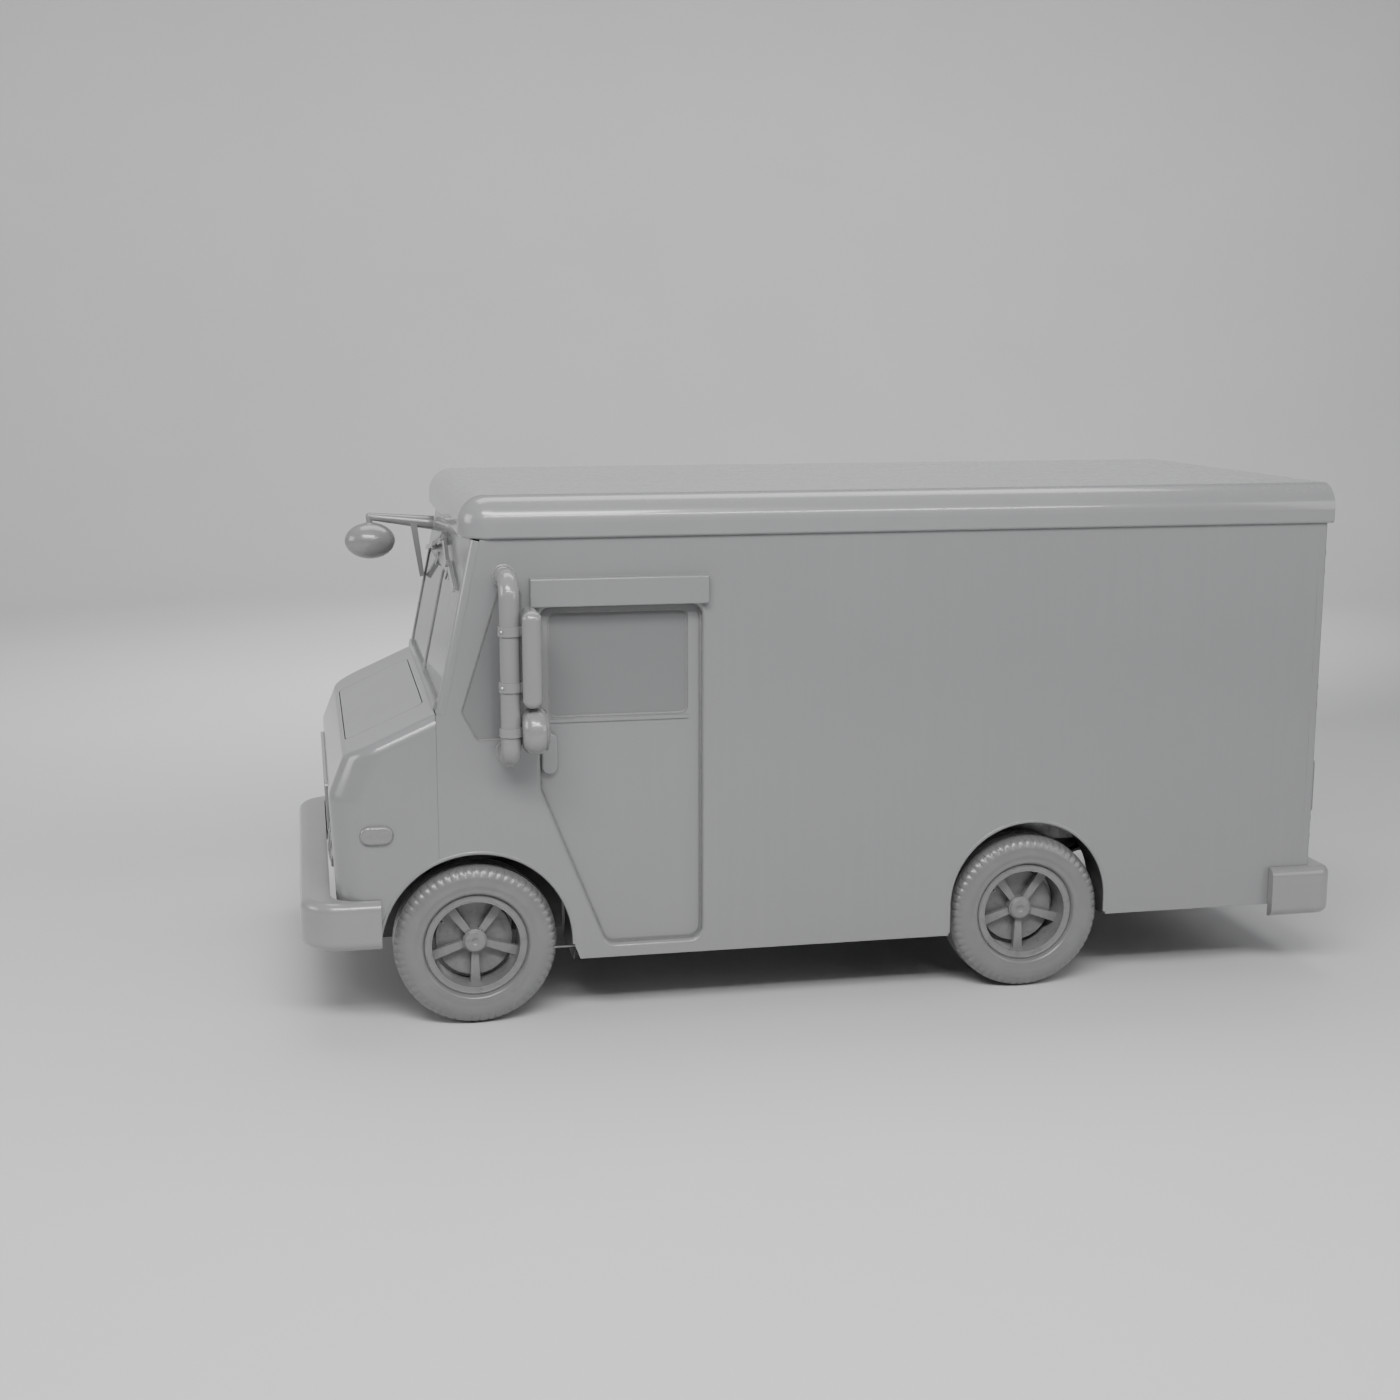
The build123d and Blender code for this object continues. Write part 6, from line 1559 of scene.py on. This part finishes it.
# ---------------------------------------------------------------- cab
class TRUCK_OT_cab(bpy.types.Operator):
    """Gauges and vents of the dash, steering-wheel pad, pedal ribs, knobs and the floor mat"""

    bl_idname = "truck.cab"
    bl_label = "Cab fittings"

    # distances behind the front axle, but for the mat's, which are ahead of it
    DASH_FACE, GAUGE_FACE = 0.095, 0.131
    GAUGE_HEIGHT, KNOB_HEIGHT = 1.35, 1.34
    GAUGE_SPACING = 0.11
    WHEEL_RAKE = 48
    WHEEL_HUB = (0.330, 1.330)
    PEDAL_LEAN = 24
    PEDAL_SETBACK = 0.078
    PEDALS = (("brake_pedal", 0.80, 0.07), ("accelerator_pedal", 0.77, 0.12))  # name, foot, height
    MAT = ((-0.42, 0.325), (0.06, 0.585))

    def execute(self, context):
        self.front = wheel_centre("front_left").x
        self.gauges()
        self.vents()
        self.wheel_pad()
        self.pedals()
        self.mat()
        return {"FINISHED"}

    def gauges(self):
        low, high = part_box("steering_wheel")
        middle = (low.y + high.y) / 2
        face = self.front - self.GAUGE_FACE
        rings, dials = Shape(), Shape()
        for step, radius in ((-1, 0.03), (0, 0.04), (1, 0.03)):
            centre = Vector((face, middle + step * self.GAUGE_SPACING, self.GAUGE_HEIGHT))
            rings.lathe(centre, -FORWARD, [
                (-0.001, radius + 0.004), (0.004, radius + 0.004), (0.0055, radius + 0.002), (0.005, radius),
                (0.001, radius - 0.001), (-0.001, radius - 0.001)], 40, closed=True)
            edge = radius - 0.0005
            dials.lathe(centre, -FORWARD, [(-0.001, edge), (0.0012, edge), (0.0012, 0.0001)], 40)
            for i in range(9):
                turn = math.radians(-120 + 30 * i)
                aim = LEFT * math.sin(turn) + UP * math.cos(turn)
                rings.rivet(centre + aim * radius * 0.78 - FORWARD * 0.001, -FORWARD, 1.4 * MM)
            needle = centre - FORWARD * 0.003
            rings.tube([needle, needle + (UP - LEFT * 0.6) * radius * 0.6], 0.9 * MM, 6)
        piece(rings, "gauge_rings", "chassis", "bright_steel")
        piece(dials, "gauge_dials", "chassis", "cab_plastic")
        knobs = Shape()
        for y in (-0.16, -0.08, 0.0, 0.08, 0.16):
            knobs.lathe(Vector((self.front - self.DASH_FACE, y, self.KNOB_HEIGHT)), -FORWARD, [
                (-0.001, 0.011), (0.006, 0.011), (0.008, 0.013), (0.02, 0.0125), (0.022, 0.011),
                (0.022, 0.0001),
            ], 24)
        piece(knobs, "dash_knobs", "chassis", "cab_plastic")

    def vents(self):
        vents = Shape()
        face = self.front - self.DASH_FACE
        for y in (-0.82, -0.42, 0.82):
            centre = Vector((face, y, self.KNOB_HEIGHT))
            outline = rounded_rectangle(centre, -LEFT, UP, 0.15, 0.064, 0.012)
            vents.strip(outline, -FORWARD, [
                (-0.004, -0.001), (-0.004, 0.004), (0.0, 0.006), (0.004, 0.004), (0.004, -0.001)])
            for i in range(5):
                z = centre.z - 0.022 + 0.011 * i
                vents.box((face - 0.004, y - 0.07, z - 0.0015), (face + 0.001, y + 0.07, z + 0.0015))
        piece(vents, "dash_vents", "chassis", "cab_plastic", sharp=50)

    def wheel_pad(self):
        low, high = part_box("steering_wheel")
        rise = math.radians(self.WHEEL_RAKE)
        axis = Vector((-math.cos(rise), 0, math.sin(rise)))
        back, height = self.WHEEL_HUB
        centre = Vector((self.front - back, (low.y + high.y) / 2, height)) + axis * 0.012
        pad = Shape().lathe(centre, axis, [
            (-0.01, 0.046), (0.008, 0.050), (0.016, 0.047), (0.021, 0.036), (0.0235, 0.018),
            (0.024, 0.0001),
        ], 48)
        piece(pad, "steering_wheel_pad", "steering_wheel", "cab_plastic", sharp=50)

    def pedals(self):
        for name, foot, tall in self.PEDALS:
            low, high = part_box(name)
            ribs = Shape()
            lean = math.radians(self.PEDAL_LEAN)
            middle = Vector((self.front + 0.040 - self.PEDAL_SETBACK, (low.y + high.y) / 2, foot + tall / 2))
            along = Vector((-math.sin(lean), 0, math.cos(lean)))
            face = Vector((-math.cos(lean), 0, -math.sin(lean)))
            half = (high.y - low.y) / 2 - 0.006
            for i in range(5):
                spot = middle + along * tall * (i - 2) * 0.19 + face * 0.0068
                ribs.tube([spot - LEFT * half, spot + LEFT * half], 2.2 * MM, 8)
            piece(ribs, name + "_ribs", name, "pedal_rubber")

    def mat(self):
        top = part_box("body_floor")[1].z
        (x0, y0), (x1, y1) = self.MAT
        low = Vector((self.front + x0, y0, top + 0.0002))
        high = Vector((self.front + x1, y1, top + 0.005))
        mat = Shape().box(low, high)
        ribs = 14
        for i in range(ribs):
            y = low.y + 0.014 + (high.y - low.y - 0.028) * i / (ribs - 1)
            mat.tube([(low.x + 0.012, y, high.z), (high.x - 0.012, y, high.z)], 2.4 * MM, 6)
        piece(mat, "driver_mat", "chassis", "pedal_rubber", bevel=1.5 * MM)


# ---------------------------------------------------------------- rear doors and load space
class TRUCK_OT_rear_end(bpy.types.Operator):
    """Seals, hinge screws and latch plate of the rear doors"""

    bl_idname = "truck.rear_end"
    bl_label = "Rear doors"

    HINGE_HEIGHTS = (0.72, 1.37, 2.02)
    HINGE_SCREWS = ((0.925, 0.018), (0.925, -0.018), (0.895, 0.0))
    DOOR_FACE, DOOR_THICK = -2.368, 0.032
    DOOR_EDGE = 0.962
    LATCH_Y, LATCH_Z = -0.13, 1.18

    def execute(self, context):
        low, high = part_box("left_rear_door")
        face = self.DOOR_FACE
        for side in ("left", "right"):
            sign = 1 if side == "left" else -1
            screws = Shape()
            for z in self.HINGE_HEIGHTS:
                for y, up in self.HINGE_SCREWS:
                    screws.bolt(Vector((face, sign * y, z + up)), -FORWARD, 9 * MM, 4 * MM)
            piece(screws, f"{side}_rear_hinge_screws", f"{side}_rear_door", "bright_steel")
            across = sign * (low.y + self.DOOR_EDGE) / 2
            centre = Vector((face + self.DOOR_THICK, across, (low.z + high.z) / 2))
            outline = rounded_rectangle(centre, LEFT, UP, 0.90, high.z - low.z - 0.06, 0.03)
            bead = [(-0.008, -0.001), (-0.007, 0.003), (0.0, 0.006), (0.007, 0.003), (0.008, -0.001)]
            piece(Shape().strip(outline, FORWARD, bead), f"{side}_rear_door_seal", f"{side}_rear_door",
                  "seal_rubber", slot="wiper_black", sharp=60)
        middle = Vector((face, self.LATCH_Y, self.LATCH_Z))
        latch = rounded_rectangle(middle, -LEFT, UP, 0.088, 0.15, 0.018)
        plate = Shape().prism(latch, -FORWARD, 2.5 * MM, 1 * MM)
        for y, z in ((-0.032, -0.06), (0.032, -0.06), (-0.032, 0.06), (0.032, 0.06)):
            plate.rivet(middle + Vector((-0.0025, y, z)), -FORWARD, 4 * MM)
        piece(plate, "latch_plate", "right_rear_door", "bright_steel")
        return {"FINISHED"}


class TRUCK_OT_load_space(bpy.types.Operator):
    """Roof bows and rivets of the mail compartment"""

    bl_idname = "truck.load_space"
    bl_label = "Load space"

    BOWS = (-2.10, -1.60, -1.10, -0.60, -0.10, 0.40, 0.90)
    SHELF_HEIGHTS = (1.060, 1.520)
    SHELF_EDGE = 0.502

    def execute(self, context):
        bows, rivets = Shape(), Shape()
        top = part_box("roof_cap")[1].z - 38 * MM
        for x in self.BOWS:
            section = [(-0.030, 0.0), (-0.030, -0.004), (-0.018, -0.004), (-0.014, -0.026), (0.014, -0.026),
                       (0.018, -0.004), (0.030, -0.004), (0.030, 0.0)]
            rows = [[Vector((x + a, y, top + b)) for a, b in section] for y in (-0.94, 0.94)]
            bows.rings(rows)
            for i in range(12):
                for a in (-0.024, 0.024):
                    y = -0.9 + 1.8 * i / 11
                    rivets.rivet(Vector((x + a, y, top - 0.004)), -UP, sizes().rivet_radius)
        piece(bows, "roof_bows", "chassis", "floor_aluminium", bevel=1 * MM)
        low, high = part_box("mail_shelves")
        for side in (-1, 1):
            for shelf in self.SHELF_HEIGHTS:
                for i in range(15):
                    x = low.x + 0.05 + (high.x - low.x - 0.1) * i / 14
                    spot = Vector((x, side * self.SHELF_EDGE, shelf + 0.012))
                    rivets.rivet(spot, -LEFT * side, sizes().rivet_radius)
        piece(rivets, "load_space_rivets", "chassis", "bright_steel")
        return {"FINISHED"}


# ---------------------------------------------------------------- running gear
class TRUCK_OT_running_gear(bpy.types.Operator):
    """U-bolts, spring plates, silencer bands and the radiator's fins"""

    bl_idname = "truck.running_gear"
    bl_label = "Running gear"

    SPRING = (0.436, 0.512)
    SILENCER_Y, SILENCER_Z = -0.290, 0.444
    BANDS = (1.06, 1.25, 1.44)
    RADIATOR_AHEAD = 0.520
    FIN_HALF, FIN_FOOT, FIN_TOP = 0.318, 0.73, 1.145

    def execute(self, context):
        bolts, plates = Shape(), Shape()
        for wheel in ("front_left", "rear_left"):
            centre = wheel_centre(wheel)
            for x in (centre.x - 0.055, centre.x + 0.055):
                y0, y1 = self.SPRING
                top, foot = centre.z + 0.112, centre.z - 0.05
                bolts.tube([
                    (x, y0, foot), (x, y0, top - 0.02), (x, y0 + 0.008, top - 0.005), (x, y0 + 0.02, top),
                    (x, y1 - 0.02, top), (x, y1 - 0.008, top - 0.005), (x, y1, top - 0.02), (x, y1, foot)],
                    6.5 * MM, 12)
                for y in (y0, y1):
                    bolts.bolt(Vector((x, y, foot + 0.012)), -UP, 19 * MM, 12 * MM)
            plates.box((centre.x - 0.075, self.SPRING[0] - 0.02, centre.z - 0.042),
                       (centre.x + 0.075, self.SPRING[1] + 0.02, centre.z - 0.032))
        both(bolts, "spring_u_bolts", "bright_steel", "chassis")
        both(plates, "spring_plates", "chassis_steel", "chassis", bevel=2 * MM)
        bands = Shape()
        rear = wheel_centre("rear_left").x
        for ahead in self.BANDS:
            bands.lathe(Vector((rear + ahead, self.SILENCER_Y, self.SILENCER_Z)), FORWARD, [
                (-0.014, 0.0782), (-0.014, 0.0805), (-0.004, 0.0815), (0.004, 0.0815), (0.014, 0.0805),
                (0.014, 0.0782)], 56, closed=True)
        piece(bands, "silencer_bands", "chassis", "bright_steel", sharp=50)
        fins = Shape()
        front = wheel_centre("front_left").x + self.RADIATOR_AHEAD
        count = 64
        for i in range(count):
            y = self.FIN_HALF * (2 * i / (count - 1) - 1)
            fins.box((front, y - 0.0006, self.FIN_FOOT), (front + 0.006, y + 0.0006, self.FIN_TOP))
        for i in range(14):
            z = 0.745 + 0.03 * i
            fins.tube([(front + 0.004, -0.322, z), (front + 0.004, 0.322, z)], 2.5 * MM, 8)
        piece(fins, "radiator_fins", "chassis", "engine_iron")
        return {"FINISHED"}


# ---------------------------------------------------------------- panel and registration
OPERATORS = (
    TRUCK_OT_stage,
    TRUCK_OT_frame_finishes,
    TRUCK_OT_tyres,
    TRUCK_OT_wheel_fittings,
    TRUCK_OT_glazing,
    TRUCK_OT_body_sides,
    TRUCK_OT_mirrors,
    TRUCK_OT_lamps,
    TRUCK_OT_grille,
    TRUCK_OT_arch_liners,
    TRUCK_OT_seat,
    TRUCK_OT_cab,
    TRUCK_OT_rear_end,
    TRUCK_OT_load_space,
    TRUCK_OT_running_gear,
)


class TRUCK_PT_panel(bpy.types.Panel):
    """Lists the truck's settings and the steps that make it"""

    bl_idname = "TRUCK_PT_panel"
    bl_label = "Mail Truck"
    bl_space_type = "VIEW_3D"
    bl_region_type = "UI"
    bl_category = "Mail Truck"

    def draw(self, context):
        layout = self.layout
        for title, group in (("Finishes", shades()), ("Fittings", sizes())):
            box = layout.box()
            box.label(text=title)
            for name in group.__annotations__:
                box.prop(group, name)
        column = layout.column(align=True)
        for operator in OPERATORS:
            column.operator(operator.bl_idname)


CLASSES = (TruckShades, TruckSizes, *OPERATORS, TRUCK_PT_panel)


def register():
    for cls in CLASSES:
        bpy.utils.register_class(cls)
    bpy.types.Scene.truck_shades = bpy.props.PointerProperty(type=TruckShades)
    bpy.types.Scene.truck_sizes = bpy.props.PointerProperty(type=TruckSizes)


def unregister():
    del bpy.types.Scene.truck_sizes
    del bpy.types.Scene.truck_shades
    for cls in reversed(CLASSES):
        bpy.utils.unregister_class(cls)


def make(operator):
    """Runs one step by its id, and stops the script if it did not finish."""
    group, name = operator.bl_idname.split(".")
    if getattr(getattr(bpy.ops, group), name)() != {"FINISHED"}:
        raise RuntimeError(f"{operator.bl_label} did not finish")


def main():
    register()
    for operator in OPERATORS:
        make(operator)
    bpy.context.view_layer.update()


if __name__ == "__main__":
    main()
